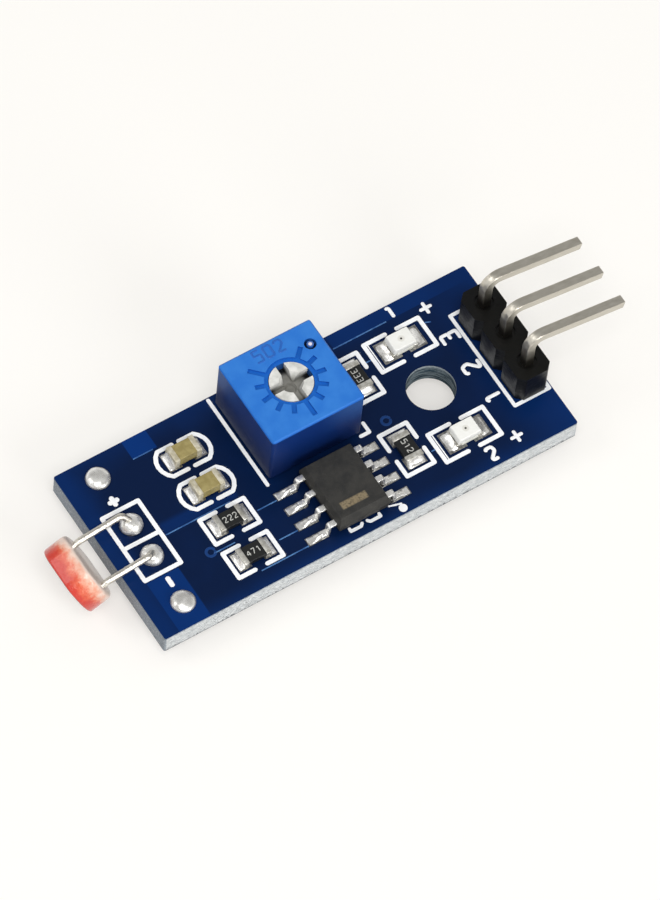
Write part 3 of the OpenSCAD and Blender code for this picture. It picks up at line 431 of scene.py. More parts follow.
def grown(name, start_mesh, tree, values):
    """The plain mesh that a tree makes of a mesh."""
    group, sockets = tree
    holder = bpy.data.objects.new(name, start_mesh)
    bpy.context.scene.collection.objects.link(holder)
    modifier = holder.modifiers.new("tree", "NODES")
    modifier.node_group = group
    for socket, value in values.items():
        modifier[sockets[socket]] = value
    seen_now = bpy.context.evaluated_depsgraph_get()
    seen_now.update()
    mesh = bpy.data.meshes.new_from_object(holder.evaluated_get(seen_now))
    bpy.data.objects.remove(holder)
    mesh.name = name
    return mesh


def piece(name, mesh, slot, *replaced):
    """Sets a finished mesh out as a piece that rides on the board."""
    made = bpy.data.objects.new(name, mesh)
    bpy.context.scene.collection.objects.link(made)
    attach(made, "root")
    if replaced:
        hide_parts(*replaced)


def lay_lines(name, lines, width, thickness, base, material, slot, corner=0.1):
    """A piece of strokes. Each line is a list of places across the board, in millimetres."""
    points = []
    edges = []
    for line in lines:
        first = len(points)
        points += [Vector((px, py, base)) * MM for px, py in line]
        edges += [(n, n + 1) for n in range(first, len(points) - 1)]
    mesh = bpy.data.meshes.new(name)
    mesh.from_pydata(points, edges, [])
    beads = grown(name, mesh, laid_line, {
        "Width": width * MM, "Thickness": thickness * MM, "Corner radius": corner * MM,
        "Base height": base * MM, "Finish": material,
    })
    piece(name, beads, slot)


def ring(centre, radius, sides=24):
    """A closed line round a centre."""
    turns = [math.tau * n / sides for n in range(sides + 1)]
    return [(centre[0] + radius * math.cos(a), centre[1] + radius * math.sin(a)) for a in turns]


def two_tones(name, constants, scale, first, second):
    """A finish clouded with two tones of its colour."""
    material, shader, place = finish(name, constants)
    put(shader, "Base Color", place.mix(noise(place, scale), first, second))
    return material


TRACK_WIDTH = 0.09
TRACK_RISE = 0.012
VIA_RADIUS = 0.30
VIA_WIDTH = 0.2
VIAS = [(-18.66, -3.07), (-3.83, -0.59)]
TRACKS = [
    [(-19.38, 5.21), (-17.88, 5.21)],
    [(-20.49, -0.56), (-15.63, -0.56)],
    [(-14.50, -2.00), (-12.93, -2.00)],
    [(-18.53, -3.25), (-16.93, -3.25)],
    [(-14.43, -4.53), (-12.93, -4.53)],
    [(-16.58, -5.85), (-12.93, -5.85)],
    [(-3.93, 5.65), (0.17, 5.65)],
    [(-2.63, 3.71), (-2.23, 3.71)],
    [(-2.53, -3.98), (-2.16, -3.98)],
    [(2.27, 4.35), (2.67, 4.18)],
]

# The tracks' pale blue is a painted highlight.
track, shader, place = finish("lacquer_over_track_painted_highlight", {
    "Roughness": 0.3, "IOR": 1.5, "Specular IOR Level": 0.2,
})
thin = noise(place, 1.6).rise(0.35, 0.65)
put(shader, "Base Color", place.mix(thin, shade(46, 88, 146), shade(84, 128, 180)))
lay_lines("tracks", TRACKS, TRACK_WIDTH, TRACK_RISE, BOARD_TOP, track, "solder_mask")
tented = two_tones("lacquer_over_via", {"Roughness": 0.3, "Specular IOR Level": 0.2},
                   1.6, shade(16, 50, 104), shade(26, 66, 126))
rings = [ring(via, VIA_RADIUS) for via in VIAS]
lay_lines("vias", rings, VIA_WIDTH, TRACK_RISE, BOARD_TOP, tented, "solder_mask")

# Printed outlines and marks.
# White epoxy ink, screened on the lacquer round each component. It is matt and not quite even.
# A plus and a minus mark the sensor's pads, a plus each light, and plain numbers the pins.
ink, shader, place = finish("white_print", {"Roughness": 0.55, "Specular IOR Level": 0.25})
blotch = noise(place, 2.2, 3)
put(shader, "Base Color", place.mix(blotch.rise(0.35, 0.7), shade(244, 246, 248), shade(254, 254, 254)))
bump(shader, noise(place, 14, 3), 0.012)
dress(ink, "legend_print")

# Each digit's strokes, in a cell one unit high.
DIGITS = {
    "0": [[
        (0.5, 1), (0.1, 1), (0, 0.85), (0, 0.15), (0.1, 0), (0.5, 0), (0.6, 0.15), (0.6, 0.85),
        (0.5, 1), (0.4, 1),
    ]],
    "1": [[(0.1, 0.78), (0.36, 1), (0.36, 0)]],
    "2": [[(0, 0.78), (0.1, 1), (0.5, 1), (0.6, 0.8), (0.6, 0.62), (0, 0), (0.62, 0)]],
    "3": [[(0, 1), (0.6, 1), (0.6, 0.52), (0.2, 0.52)], [(0.6, 0.52), (0.6, 0), (0, 0)]],
    "4": [[(0.45, 0), (0.45, 1), (0, 0.3), (0.62, 0.3)]],
    "5": [[(0.58, 1), (0.04, 1), (0.02, 0.58), (0.58, 0.58), (0.58, 0), (0, 0)]],
    "7": [[(0, 1), (0.6, 1), (0.2, 0)]],
}
DIGIT_WIDTH = 0.6
DIGIT_STEP = 0.92


def number(text, middle, height, turn=0):
    """The lines of a plain number round its middle, turned by an angle in degrees."""
    row = (len(text) - 1) * DIGIT_STEP + DIGIT_WIDTH
    spin = Matrix.Rotation(math.radians(turn), 2)
    lines = []
    for n, digit in enumerate(text):
        for line in DIGITS[digit]:
            points = [(px + n * DIGIT_STEP - row / 2, py - 0.5) for px, py in line]
            lines.append([tuple(spin @ (Vector(point) * height) + Vector(middle)) for point in points])
    return lines


def plus(middle, reach):
    """The two lines of a plus sign."""
    px, py = middle
    return [[(px - reach, py), (px + reach, py)], [(px, py - reach), (px, py + reach)]]


INK_RISE = 0.03
SENSOR_SIGN_STROKE = 0.35
LIGHT_SIGN_STROKE = 0.25
NUMBER_STROKE = 0.26
SENSOR_PLUS = (-22.07, 3.21)
SENSOR_PLUS_REACH = 0.42
SENSOR_MINUS = [(-22.02, -4.00), (-22.02, -3.14)]
LIGHT_PLUSES = [(2.93, 5.24), (2.84, -5.79)]
LIGHT_PLUS_REACH = 0.48
PIN_NUMBERS_X = 3.12
PIN_NUMBER_HEIGHT = 1.15
LIGHT_NUMBERS = {"1": (0.75, 6.12), "2": (0.75, -6.07)}
LIGHT_NUMBER_HEIGHT = 0.92

sensor_signs = plus(SENSOR_PLUS, SENSOR_PLUS_REACH) + [SENSOR_MINUS]
light_signs = [line for middle in LIGHT_PLUSES for line in plus(middle, LIGHT_PLUS_REACH)]
pin_numbers = []
for n, text in enumerate("321", 1):
    beside_pin = (PIN_NUMBERS_X, middle_of(f"header_pin_{n}").y)
    pin_numbers += number(text, beside_pin, PIN_NUMBER_HEIGHT, turn=90)
for text, beside_light in LIGHT_NUMBERS.items():
    pin_numbers += number(text, beside_light, LIGHT_NUMBER_HEIGHT)
for name, lines, width in (
    ("sensor_signs", sensor_signs, SENSOR_SIGN_STROKE),
    ("light_signs", light_signs, LIGHT_SIGN_STROKE),
    ("pin_numbers", pin_numbers, NUMBER_STROKE),
):
    lay_lines(name, lines, width, INK_RISE, BOARD_TOP, ink, "legend_ink")

# Pads and solder.
# Tinned copper pads, and the solder that holds each lead. It froze in soft folds: a dome over each
# corner hole, a mound round each sensor lead, and a cone up each pin on the underside.
tin, shader, place = finish("bright_solder", {"Metallic": 0.75})
fold = noise(place, 1.3, 2, 0.5)
grain = noise(place, 6, 3)
put(shader, "Base Color", place.mix(fold.rise(0.35, 0.65), shade(214, 212, 207), shade(246, 245, 241)))
put(shader, "Roughness", 0.26 + grain.rise(0.35, 0.75) * 0.14)
bump(shader, fold, 0.06)
dull, shader, place = finish("tinned_pad", {"Metallic": 1.0})
grain = noise(place, 5, 3)
put(shader, "Base Color", place.mix(grain.rise(0.35, 0.7), shade(128, 128, 126), shade(190, 188, 184)))
put(shader, "Roughness", 0.22 + grain * 0.2)
bump(shader, grain, 0.05)
dress(dull, "top_pads", "bottom_pads")


SMOOTH_ANGLE = math.radians(50)


def closed_mesh(name, points, faces):
    """A smooth closed mesh from places in millimetres, with its faces turned outwards."""
    mesh = bpy.data.meshes.new(name)
    work = bmesh.new()
    corners = [work.verts.new(Vector(point) * MM) for point in points]
    for face in faces:
        work.faces.new([corners[n] for n in face])
    bmesh.ops.remove_doubles(work, verts=work.verts, dist=1e-7)
    bmesh.ops.recalc_face_normals(work, faces=work.faces)
    work.to_mesh(mesh)
    work.free()
    mesh.polygons.foreach_set("use_smooth", [True] * len(mesh.polygons))
    mesh.set_sharp_from_angle(angle=SMOOTH_ANGLE)
    return mesh


def bands(rings, sides):
    """The faces between rings of points, each with as many sides, that follow one another."""
    faces = []
    for level in range(rings - 1):
        for n in range(sides):
            a, b = level * sides + n, level * sides + (n + 1) % sides
            faces.append((a, b, b + sides, a + sides))
    return faces


def turned(name, profile, unevenness, seed, sides=32):
    """A round body from a profile of radius and height, a little uneven, as solder is."""
    points = []
    for radius, height in profile:
        for n in range(sides):
            a = math.tau * n / sides
            way = Vector((math.cos(a), math.sin(a), 0))
            wobble = cloud_noise.noise(way * 1.2 + Vector((seed, height * 1.4, 0))) * unevenness
            points.append(way * radius * (1 + wobble) + Vector((0, 0, height)))
    return closed_mesh(name, points, bands(len(profile), sides))


TOE_LIFT = 0.12


def heap(name, spread, seed, across=12, outward=14):
    """A heap of solder one unit long, wide each way and high, that falls away from a metal end."""
    points = []
    for i in range(outward + 2):
        # t runs outward from the metal end, and s from side to side.
        t = max(0, i - 1) / outward
        for j in range(across + 1):
            s = 2 * j / across - 1
            wave = cloud_noise.noise(Vector((t * 2.2 + seed, s * 1.1, seed * 3.7)))
            crown = max(0.0, 1 - s ** 4) ** 0.5
            foot = 0 if i in (0, outward + 1) or abs(s) == 1 else 1
            fall = TOE_LIFT + (1 - TOE_LIFT) * (1 - t) ** 1.6
            lift = fall * crown * (1 + wave * 0.5) * foot
            points.append((t, s * (1 - spread * (1 - t)), lift))
    row = across + 1
    faces = [
        (i * row + j, (i + 1) * row + j, (i + 1) * row + j + 1, i * row + j + 1)
        for i in range(outward + 1) for j in range(across)
    ]
    last = (outward + 1) * row
    round_foot = list(range(row)) + [i * row + across for i in range(1, outward + 2)]
    round_foot += [last + j for j in range(across - 1, -1, -1)]
    round_foot += [i * row for i in range(outward, 0, -1)]
    faces.append(tuple(round_foot))
    return closed_mesh(name, points, faces)


UNEVEN_SEED = 7


def setting_tree():
    """Sets a shape out at each place, with the place's turn and size, a little uneven in height."""
    tree = bpy.data.node_groups.new("set_out", "GeometryNodeTree")
    tree.interface.new_socket("Places", in_out="INPUT", socket_type="NodeSocketGeometry")
    sockets = {
        "Shape": add_socket(tree, "Shape", "NodeSocketObject"),
        "Unevenness": add_socket(tree, "Unevenness", "NodeSocketFloat", 0.0),
        "Finish": add_socket(tree, "Finish", "NodeSocketMaterial"),
    }
    tree.interface.new_socket("Copies", in_out="OUTPUT", socket_type="NodeSocketGeometry")
    start = Link(tree)
    given = tree.nodes.new("NodeGroupInput")
    places, shape, unevenness, paint = [Link(tree, given.outputs[n]) for n in range(4)]
    shape = start.node("GeometryNodeObjectInfo", None, {"Object": shape}, "Geometry")
    turn = start.node("GeometryNodeInputNamedAttribute", {"data_type": "FLOAT"}, {"Name": "turn"})
    size = start.node("GeometryNodeInputNamedAttribute", {"data_type": "FLOAT_VECTOR"}, {
        "Name": "size",
    })
    turned_by = start.node("ShaderNodeCombineXYZ", None, {"Z": turn})
    random = start.node("FunctionNodeRandomValue", {"data_type": "FLOAT"}, {"Seed": UNEVEN_SEED}, 1)
    uneven = start.node("ShaderNodeCombineXYZ", None, {
        "X": 1.0, "Y": 1.0, "Z": 1.0 + (random - 0.5) * unevenness,
    })
    size = start.node("ShaderNodeVectorMath", {"operation": "MULTIPLY"}, {0: size, 1: uneven})
    copies = start.node("GeometryNodeInstanceOnPoints", None, {
        "Points": places, "Instance": shape, "Rotation": turned_by, "Scale": size,
    })
    copies = start.node("GeometryNodeRealizeInstances", None, {"Geometry": copies})
    copies = start.node("GeometryNodeSetMaterial", None, {"Geometry": copies, "Material": paint})
    start.node("NodeGroupOutput", None, {"Copies": copies}, None)
    return tree, sockets


set_out = setting_tree()


def solder(name, form, places, replaced, unevenness=0.0):
    """One piece of a form of solder at many places: a middle, a turn in degrees and a size each."""
    mesh = bpy.data.meshes.new(name)
    mesh.from_pydata([Vector(middle) * MM for middle, _, _ in places], [], [])
    turns = mesh.attributes.new("turn", "FLOAT", "POINT")
    turns.data.foreach_set("value", [math.radians(angle) for _, angle, _ in places])
    sizes = mesh.attributes.new("size", "FLOAT_VECTOR", "POINT")
    sizes.data.foreach_set("vector", [length for _, _, size in places for length in size])
    shape = bpy.data.objects.new(f"{name}_shape", form)
    bpy.context.scene.collection.objects.link(shape)
    made = grown(name, mesh, set_out, {"Shape": shape, "Unevenness": unevenness, "Finish": tin})
    bpy.data.objects.remove(shape)
    piece(name, made, "solder", replaced)


SIDE_STEPS = 8
HOLLOWNESS = 2.2


def hollow_side(foot_r, top_r, rise):
    """A cone of solder with a hollow side, that climbs a lead: radius and height, from its foot."""
    steps = [n / SIDE_STEPS for n in range(SIDE_STEPS + 1)]
    return [(top_r + (foot_r - top_r) * (1 - t) ** HOLLOWNESS, rise * t) for t in steps]


def domed_side(foot_r, top_r, rise):
    """A dome of solder: radius and height, from its foot."""
    turns = [math.pi / 2 * n / SIDE_STEPS for n in range(SIDE_STEPS + 1)]
    return [(top_r + (foot_r - top_r) * math.cos(a), rise * math.sin(a)) for a in turns]


PAD_THICKNESS = 0.05
PAD_TOP = BOARD_TOP + PAD_THICKNESS
PAD_UNDER = -PAD_THICKNESS
PLUG_TOP = PAD_TOP - 0.01
PLUG_R = 0.42


def joint(under, over=()):
    """A soldered hole's section: the form under the board, the plug in the hole, any form above."""
    section = [(0, PAD_UNDER - under[-1][1])]
    section += [(radius, PAD_UNDER - height) for radius, height in reversed(under)]
    section += [(PLUG_R, PAD_UNDER), (PLUG_R, PLUG_TOP)]
    section += [(radius, PAD_TOP + height) for radius, height in over]
    return section + [(0, section[-1][1])]


# Each joint has its own turn, so that no two look alike.
SAME_SIZE = (1, 1, 1)
low, high = span("sensor_solder")
mound_x, mound_r = (low.x + high.x) / 2, (high.x - low.x) / 2
places = [
    ((mound_x, high.y - mound_r, 0), 20, SAME_SIZE),
    ((mound_x, low.y + mound_r, 0), 200, SAME_SIZE),
]
cone = hollow_side(mound_r, top_r=0.15, rise=0.70)
mound = domed_side(mound_r, top_r=0.15, rise=0.60)
form = turned("sensor_joint", joint(cone, mound), unevenness=0.10, seed=3)
solder("sensor_joints", form, places, "sensor_solder", unevenness=0.2)

low, high = span("corner_solder")
dot_x, dot_r = (low.x + high.x) / 2, (high.x - low.x) / 2
places = [
    ((dot_x, high.y - dot_r, 0), 0, SAME_SIZE),
    ((dot_x, low.y + dot_r, 0), 130, SAME_SIZE),
]
dome = domed_side(dot_r, top_r=0, rise=0.40)
form = turned("corner_joint", joint(dome, dome), unevenness=0.05, seed=5)
solder("corner_dots", form, places, "corner_solder")

PIN_THICKNESS = 0.64
places = []
for n in (1, 2, 3):
    low, high = span(f"header_pin_{n}")
    places.append(((low.x + PIN_THICKNESS / 2, (low.y + high.y) / 2, 0), 40 * n, SAME_SIZE))
cone = hollow_side(foot_r=0.84, top_r=0.30, rise=0.60)
form = turned("header_joint", joint(cone), unevenness=0.08, seed=9)
solder("header_joints", form, places, "header_solder", unevenness=0.15)

places = []
for n in (1, 2, 3):
    middle = middle_of(f"trimmer_pin_{n}")
    places.append(((middle.x, middle.y, 0), 70 * n, SAME_SIZE))
cone = hollow_side(foot_r=0.79, top_r=0.20, rise=0.68)
form = turned("trimmer_joint", joint(cone), unevenness=0.08, seed=12)
solder("trimmer_joints", form, places, "trimmer_solder", unevenness=0.15)

# Photoresistor.
# A cream ceramic disc with two flats. An orange-red film is printed on its face and wrapped down
# its rim, metal combs lie on the film, and clear resin seals all. Two tinned wires leave its back.
DISC_TILT = math.radians(25)
DISC_MIDDLE = Vector((-26.78, -0.13, 1.68))
DISC_RADIUS = 2.45
FLAT_REACH = 2.1
CORNER_SHARPNESS = 9.0
DISC_THICKNESS = 1.75
FILM_FRONT = 0.34
FILM_BACK = 1.0
FILM_SKIN = 0.06
disc_axis = Vector((math.cos(DISC_TILT), 0, math.sin(DISC_TILT)))
disc_up = Vector((-math.sin(DISC_TILT), 0, math.cos(DISC_TILT)))
disc_across = Vector((0, 1, 0))


def disc_outline(angle):
    """The disc's reach at an angle: a circle cut by two flats, with the corners softened."""
    flat = FLAT_REACH / max(abs(math.sin(angle)), 1e-6)
    near_flat = math.exp(-CORNER_SHARPNESS * (flat - FLAT_REACH))
    near_round = math.exp(-CORNER_SHARPNESS * (DISC_RADIUS - FLAT_REACH))
    return FLAT_REACH - math.log(near_flat + near_round) / CORNER_SHARPNESS


def disc_layer(name, rings, sides=96):
    """A layer of the disc: each ring is how far it lies behind the face, and inside the rim."""
    points = []
    for behind, inside in rings:
        for n in range(sides):
            angle = math.tau * n / sides
            reach = max(disc_outline(angle) - inside, 0.0)
            out = (disc_across * math.cos(angle) + disc_up * math.sin(angle)) * reach
            points.append(DISC_MIDDLE + disc_axis * (behind - DISC_THICKNESS / 2) + out)
    return closed_mesh(name, points, bands(len(rings), sides))


def round_edge(radius, steps=5):
    """Rings over a round edge: how far behind the face, and how far inside the rim."""
    turns = [math.pi / 2 * n / steps for n in range(steps + 1)]
    return [(radius * (1 - math.cos(a)), radius * (1 - math.sin(a))) for a in turns]


def behind_face(place):
    """How far a place lies behind the disc's front, in millimetres."""
    from_middle = place.node("ShaderNodeVectorMath", {"operation": "SUBTRACT"}, {
        0: place, 1: DISC_MIDDLE,
    })
    depth = place.node("ShaderNodeVectorMath", {"operation": "DOT_PRODUCT"}, {
        0: from_middle, 1: disc_axis,
    }, "Value")
    return depth + DISC_THICKNESS / 2


def rim_colour(place):
    """Orange-red at the front, that pales in runs and specks to peach and cream at the back."""
    runs = noise(place, 0.75, 4, 0.6)
    mottle = noise(place, 3.2, 3, 0.6)
    fade = behind_face(place) + (runs - 0.5) * 1.9 + (mottle - 0.5) * 0.6
    colour = place.mix(fade.rise(0.45, 1.05), shade(206, 44, 20), shade(226, 96, 58))
    colour = place.mix(fade.rise(0.90, 1.30), colour, shade(238, 170, 142))
    colour = place.mix(fade.rise(1.2, 1.7), colour, shade(243, 214, 198))
    specks = noise(place, 7.5, 2).rise(0.66, 0.74)
    return place.mix(specks * 0.5, colour, shade(176, 64, 44)), mottle


GLAZE = {"Roughness": 0.30, "Coat Weight": 0.6, "Coat Roughness": 0.12}
film, shader, place = finish("orange_film", GLAZE)
colour, mottle = rim_colour(place)
put(shader, "Base Color", colour)
bump(shader, mottle, 0.07)
ceramic, shader, place = finish("cream_ceramic", GLAZE)
colour, mottle = rim_colour(place)
bare_back = behind_face(place).rise(1.55, 1.72)
put(shader, "Base Color", place.mix(bare_back, colour, shade(228, 208, 194)))
bump(shader, mottle, 0.07)
comb = two_tones("evaporated_metal", {"Metallic": 0.8, "Roughness": 0.35},
                 5, shade(196, 188, 176), shade(224, 218, 206))
dress(comb, "sensor_electrodes")
resin = two_tones("clear_resin", {"Roughness": 0.06, "IOR": 1.45, "Transmission Weight": 0.9},
                  2, shade(252, 240, 232), shade(255, 252, 248))

CENTRE = DISC_RADIUS
FRONT_EDGE = 0.16
BACK_EDGE = 0.30
RIM_FACING = 0.75
back_edge = [(DISC_THICKNESS - behind, inside) for behind, inside in reversed(round_edge(BACK_EDGE))]
layers = {
    "resin_face": (
        [(0, CENTRE)] + round_edge(FRONT_EDGE) + [(FILM_FRONT, 0), (FILM_FRONT, CENTRE)],
        resin, "clear_resin", "sensor_coating",
    ),
    "film_face": (
        [(FILM_FRONT, CENTRE), (FILM_FRONT, 0), (FILM_BACK, 0), (FILM_BACK, FILM_SKIN),
         (FILM_FRONT + FILM_SKIN, FILM_SKIN), (FILM_FRONT + FILM_SKIN, CENTRE)],
        film, "sensor_film", "sensor_film",
    ),
    "ceramic_disc": (
        [(FILM_FRONT + FILM_SKIN, CENTRE), (FILM_FRONT + FILM_SKIN, FILM_SKIN), (FILM_BACK, FILM_SKIN),
         (FILM_BACK, 0)] + back_edge + [(DISC_THICKNESS, CENTRE)],
        ceramic, "sensor_ceramic", "sensor_disc",
    ),
}
for name, (rings, material, slot_name, node_name) in layers.items():
    mesh = disc_layer(name, rings)
    mesh.materials.append(material)
    if material is resin:
        # The film shows through the resin at the rim.
        mesh.materials.append(film)
        for side in mesh.polygons:
            side.material_index = 1 if abs(side.normal.dot(disc_axis)) < RIM_FACING else 0
    piece(name, mesh, slot_name, node_name)

wire, shader, place = finish("tinned_wire", {"Metallic": 1.0})
streak = noise(place, 7, 4)
put(shader, "Base Color", place.mix(streak, shade(196, 190, 178), shade(232, 228, 218)))
put(shader, "Roughness", 0.2 + streak * 0.2)
bump(shader, streak, 0.02)


FLAT_ANGLE = math.radians(1)
EDGE_ANGLE = math.radians(35)
SHARP_ANGLE = math.radians(40)


def softened(names, material, slot, edge=0):
    """Copies of CAD pieces, merged and smoothly shaded, with sharp edges rounded where asked."""
    for name in names:
        work = bmesh.new()
        work.from_mesh(nodes[name].data)
        bmesh.ops.remove_doubles(work, verts=work.verts, dist=1e-6)
        bmesh.ops.dissolve_limit(work, angle_limit=FLAT_ANGLE, verts=work.verts, edges=work.edges)
        mesh = bpy.data.meshes.new(name)
        work.to_mesh(mesh)
        work.free()
        mesh.polygons.foreach_set("use_smooth", [True] * len(mesh.polygons))
        holder = bpy.data.objects.new(name, mesh)
        bpy.context.scene.collection.objects.link(holder)
        if edge:
            edges = holder.modifiers.new("edges", "BEVEL")
            edges.width = edge * MM
            edges.segments = 2
            edges.limit_method = "ANGLE"
            edges.angle_limit = EDGE_ANGLE
        else:
            mesh.set_sharp_from_angle(angle=SHARP_ANGLE)
        shading = holder.modifiers.new("shading", "WEIGHTED_NORMAL")
        shading.keep_sharp = True
        seen_now = bpy.context.evaluated_depsgraph_get()
        seen_now.update()
        made = bpy.data.meshes.new_from_object(holder.evaluated_get(seen_now))
        bpy.data.objects.remove(holder)
        made.materials.clear()
        made.materials.append(material)
        piece(f"{name}_finished", made, slot, name)


WIRES = ["sensor_lead_1", "sensor_lead_2", "trimmer_pin_1", "trimmer_pin_2", "trimmer_pin_3"]
softened(WIRES, wire, "tinned_wire")

# Chip capacitors and resistors.
# Blocks of tan ceramic, and thin plates under black glass with plain numbers, each with two metal
# ends that were dipped and tinned. Solder runs from each end down over its pad.
tan, shader, place = finish("tan_ceramic", {"Roughness": 0.42})
cloud = noise(place, 2.4, 3)
put(shader, "Base Color", place.mix(cloud.rise(0.3, 0.7), shade(146, 132, 80), shade(166, 152, 98)))
bump(shader, noise(place, 12, 3), 0.015)
softened(["capacitor_1_body", "capacitor_2_body"], tan, "capacitor_tan", edge=0.05)

RESISTORS = (1, 2, 3, 4)
glass_black, shader, place = finish("black_glass_coat", {
    "Roughness": 0.28, "Specular IOR Level": 0.35,
})
cloud = noise(place, 3, 3)
put(shader, "Base Color", place.mix(cloud, shade(18, 19, 20), shade(38, 39, 38)))
bump(shader, noise(place, 8, 3), 0.02)
softened([f"resistor_{n}_body" for n in RESISTORS], glass_black, "resistor_black", edge=0.03)


def end_metal(name, metallic, roughness, dark, pale):
    """The uneven metal of a dipped end."""
    material, shader, place = finish(name, {"Metallic": metallic})
    cloud = noise(place, 2.4, 3, 0.6)
    put(shader, "Base Color", place.mix(cloud.rise(0.3, 0.7), dark, pale))
    put(shader, "Roughness", roughness + cloud * 0.2)
    bump(shader, cloud, 0.06)
    return material


dipped = end_metal("dipped_ends", 0.85, 0.24, shade(190, 186, 174), shade(238, 236, 228))
beige = end_metal("beige_ends", 0.35, 0.30, shade(190, 180, 150), shade(226, 220, 200))
softened([f"resistor_{n}_ends" for n in RESISTORS], dipped, "cap_tin", edge=0.05)
softened(["capacitor_1_ends", "capacitor_2_ends"], beige, "cap_tin", edge=0.08)

HEAP_FOOT = PAD_TOP - 0.02


def both_ends(name, overlap, share_of_height, beyond, beside):
    """Where solder lies at a small part's two ends: the middle, turn and size of each heap."""
    low, high = span(name)
    size = high - low
    middle = (low + high) / 2
    lengthwise = size.x > size.y
    reach, half_width = (size.x / 2, size.y / 2) if lengthwise else (size.y / 2, size.x / 2)
    found = []
    for angle in ((0, 180) if lengthwise else (90, 270)):
        way = Vector((math.cos(math.radians(angle)), math.sin(math.radians(angle)), 0))
        start = Vector((middle.x, middle.y, HEAP_FOOT)) + way * (reach - overlap)
        heap_size = (beyond + overlap, half_width + beside, size.z * share_of_height)
        found.append((start, angle, heap_size))
    return found


resistor_heap = {"overlap": 0.04, "share_of_height": 0.85, "beyond": 0.38, "beside": 0.03}
capacitor_heap = {"overlap": 0.04, "share_of_height": 0.55, "beyond": 0.38, "beside": 0.03}
light_heap = {"overlap": 0.05, "share_of_height": 0.75, "beyond": 0.55, "beside": 0.10}
places = []
for n in RESISTORS:
    places += both_ends(f"resistor_{n}_ends", **resistor_heap)
for n in (1, 2):
    places += both_ends(f"capacitor_{n}_ends", **capacitor_heap)
    places += both_ends(f"light_{n}_ends", **light_heap)
form = heap("end_heap", spread=0.04, seed=21)
solder("end_heaps", form, places, "small_part_solder", unevenness=0.25)

# A number reads along its resistor, which lies along the board or across it.
RESISTOR_NUMBERS = ("222", "471", "333", "512")
RESISTOR_NUMBER_HEIGHT = 0.40
RESISTOR_NUMBER_STROKE = 0.065
PRINT_RISE = 0.012
PRINT_CORNER = 0.03
pale_print = two_tones("pale_resistor_print", {"Roughness": 0.5},
                       5, shade(168, 168, 162), shade(210, 210, 204))
lines = []
for n, text in zip(RESISTORS, RESISTOR_NUMBERS):
    low, high = span(f"resistor_{n}_body")
    lies_along = high.x - low.x > high.y - low.y
    middle = middle_of(f"resistor_{n}_body").xy
    lines += number(text, middle, RESISTOR_NUMBER_HEIGHT, turn=0 if lies_along else -90)
lay_lines("resistor_numbers", lines, RESISTOR_NUMBER_STROKE, PRINT_RISE, high.z, pale_print,
          "legend_ink", PRINT_CORNER)

# Trimmer.
# A blue moulded housing, closed underneath with epoxy, that holds a grey rotor on a rubber ring.
# The rotor carries a brass wiper over a black resistive arc on a ceramic plate.
TRIMMER_TOP = 6.45
GATE = (-6.74, 4.48)
GATE_R = 0.40
housing_low = span("trimmer_housing")[0]
blue, shader, place = finish("moulded_blue", {"Roughness": 0.44, "Specular IOR Level": 0.16})
x, y, z = along(place)
cloud = noise(place, 0.8, 3)
pore = noise(place, 22, 2)
up_face = facing(place, "Z").rise(0.3, 0.8)

# The sides are painted darker than the top, as painted shade, and are darkest low down. High up, away
# from the near corner, they carry a paler painted reflection. Near the top a brighter blue is a painted
# highlight round the rim, and the walls of the sunk marks take it too.
from_corner = (x - housing_low.x) + (y - housing_low.y)
# Painted reflection: a paler patch high up, away from the near corner.
painted_reflection_patch = from_corner.rise(3.2, 7.0) * (z + (cloud - 0.5) * 1.6).rise(3.6, 6.4)
# Painted shade: the sides are darker than the top, and darkest low down.
side = place.mix((z - BOARD_TOP).rise(0.2, 4.6), shade(8, 27, 70), shade(10, 46, 112))
side = place.mix(painted_reflection_patch, side, shade(40, 84, 148))
# Painted highlight: a brighter blue near the top of the sides, which the walls of the sunk marks share.
side = place.mix(z.rise(TRIMMER_TOP - 0.20, TRIMMER_TOP - 0.14), side, shade(28, 96, 186))

# On top, the sunk dial is painted a little darker, as painted shade in the recess. The gate's hole is
# painted near-black, as painted shade, and the peg in it is painted pale, as a painted highlight.
crown = place.mix(cloud.rise(0.3, 0.7), shade(44, 116, 205), shade(54, 126, 211))
# Painted shade: the sunk dial is darker than the top.
recess_shade = 1 - z.rise(TRIMMER_TOP - 0.10, TRIMMER_TOP - 0.04)
crown = place.mix(recess_shade, crown, shade(24, 98, 190))
gate_x, gate_y = x - GATE[0], y - GATE[1]
from_gate = (gate_x * gate_x + gate_y * gate_y).root()
in_gate = 1 - from_gate.rise(GATE_R - 0.02, GATE_R + 0.02)
# Painted shade in the gate's hole, then a painted highlight on its peg.
crown = place.mix(in_gate * recess_shade, crown, shade(6, 14, 36))
crown = place.mix(1 - from_gate.rise(0.19, 0.24), crown, shade(70, 100, 160))
crown = place.mix(1 - from_gate.rise(0.08, 0.16), crown, shade(232, 226, 236))
put(shader, "Base Color", place.mix(up_face, side, crown))
bump(shader, pore + cloud * 0.5, 0.012)
dress(blue, "trimmer_housing")

grey, shader, place = finish("rotor_grey", {"Roughness": 0.3})
cloud = noise(place, 1.6, 3)
x, y, z = along(place)
rotor_top = span("trimmer_rotor")[1].z
rotor_middle = middle_of("trimmer_rotor")
rotor_x, rotor_y = x - rotor_middle.x, y - rotor_middle.y
from_axis = (rotor_x * rotor_x + rotor_y * rotor_y).root()
# Painted shade: deep in its slots the rotor is painted darker, and near-black towards the slot ends.
recess_shade = (rotor_top - z).rise(0.20, 0.80)
tone = place.mix(cloud.rise(0.3, 0.7), shade(196, 196, 190), shade(232, 231, 226))
tone = place.mix(recess_shade * 0.8, tone, shade(104, 102, 94))
tone = place.mix(recess_shade * from_axis.rise(0.9, 1.3), tone, shade(14, 14, 16))
put(shader, "Base Color", tone)
bump(shader, cloud, 0.04)
dress(grey, "trimmer_rotor")

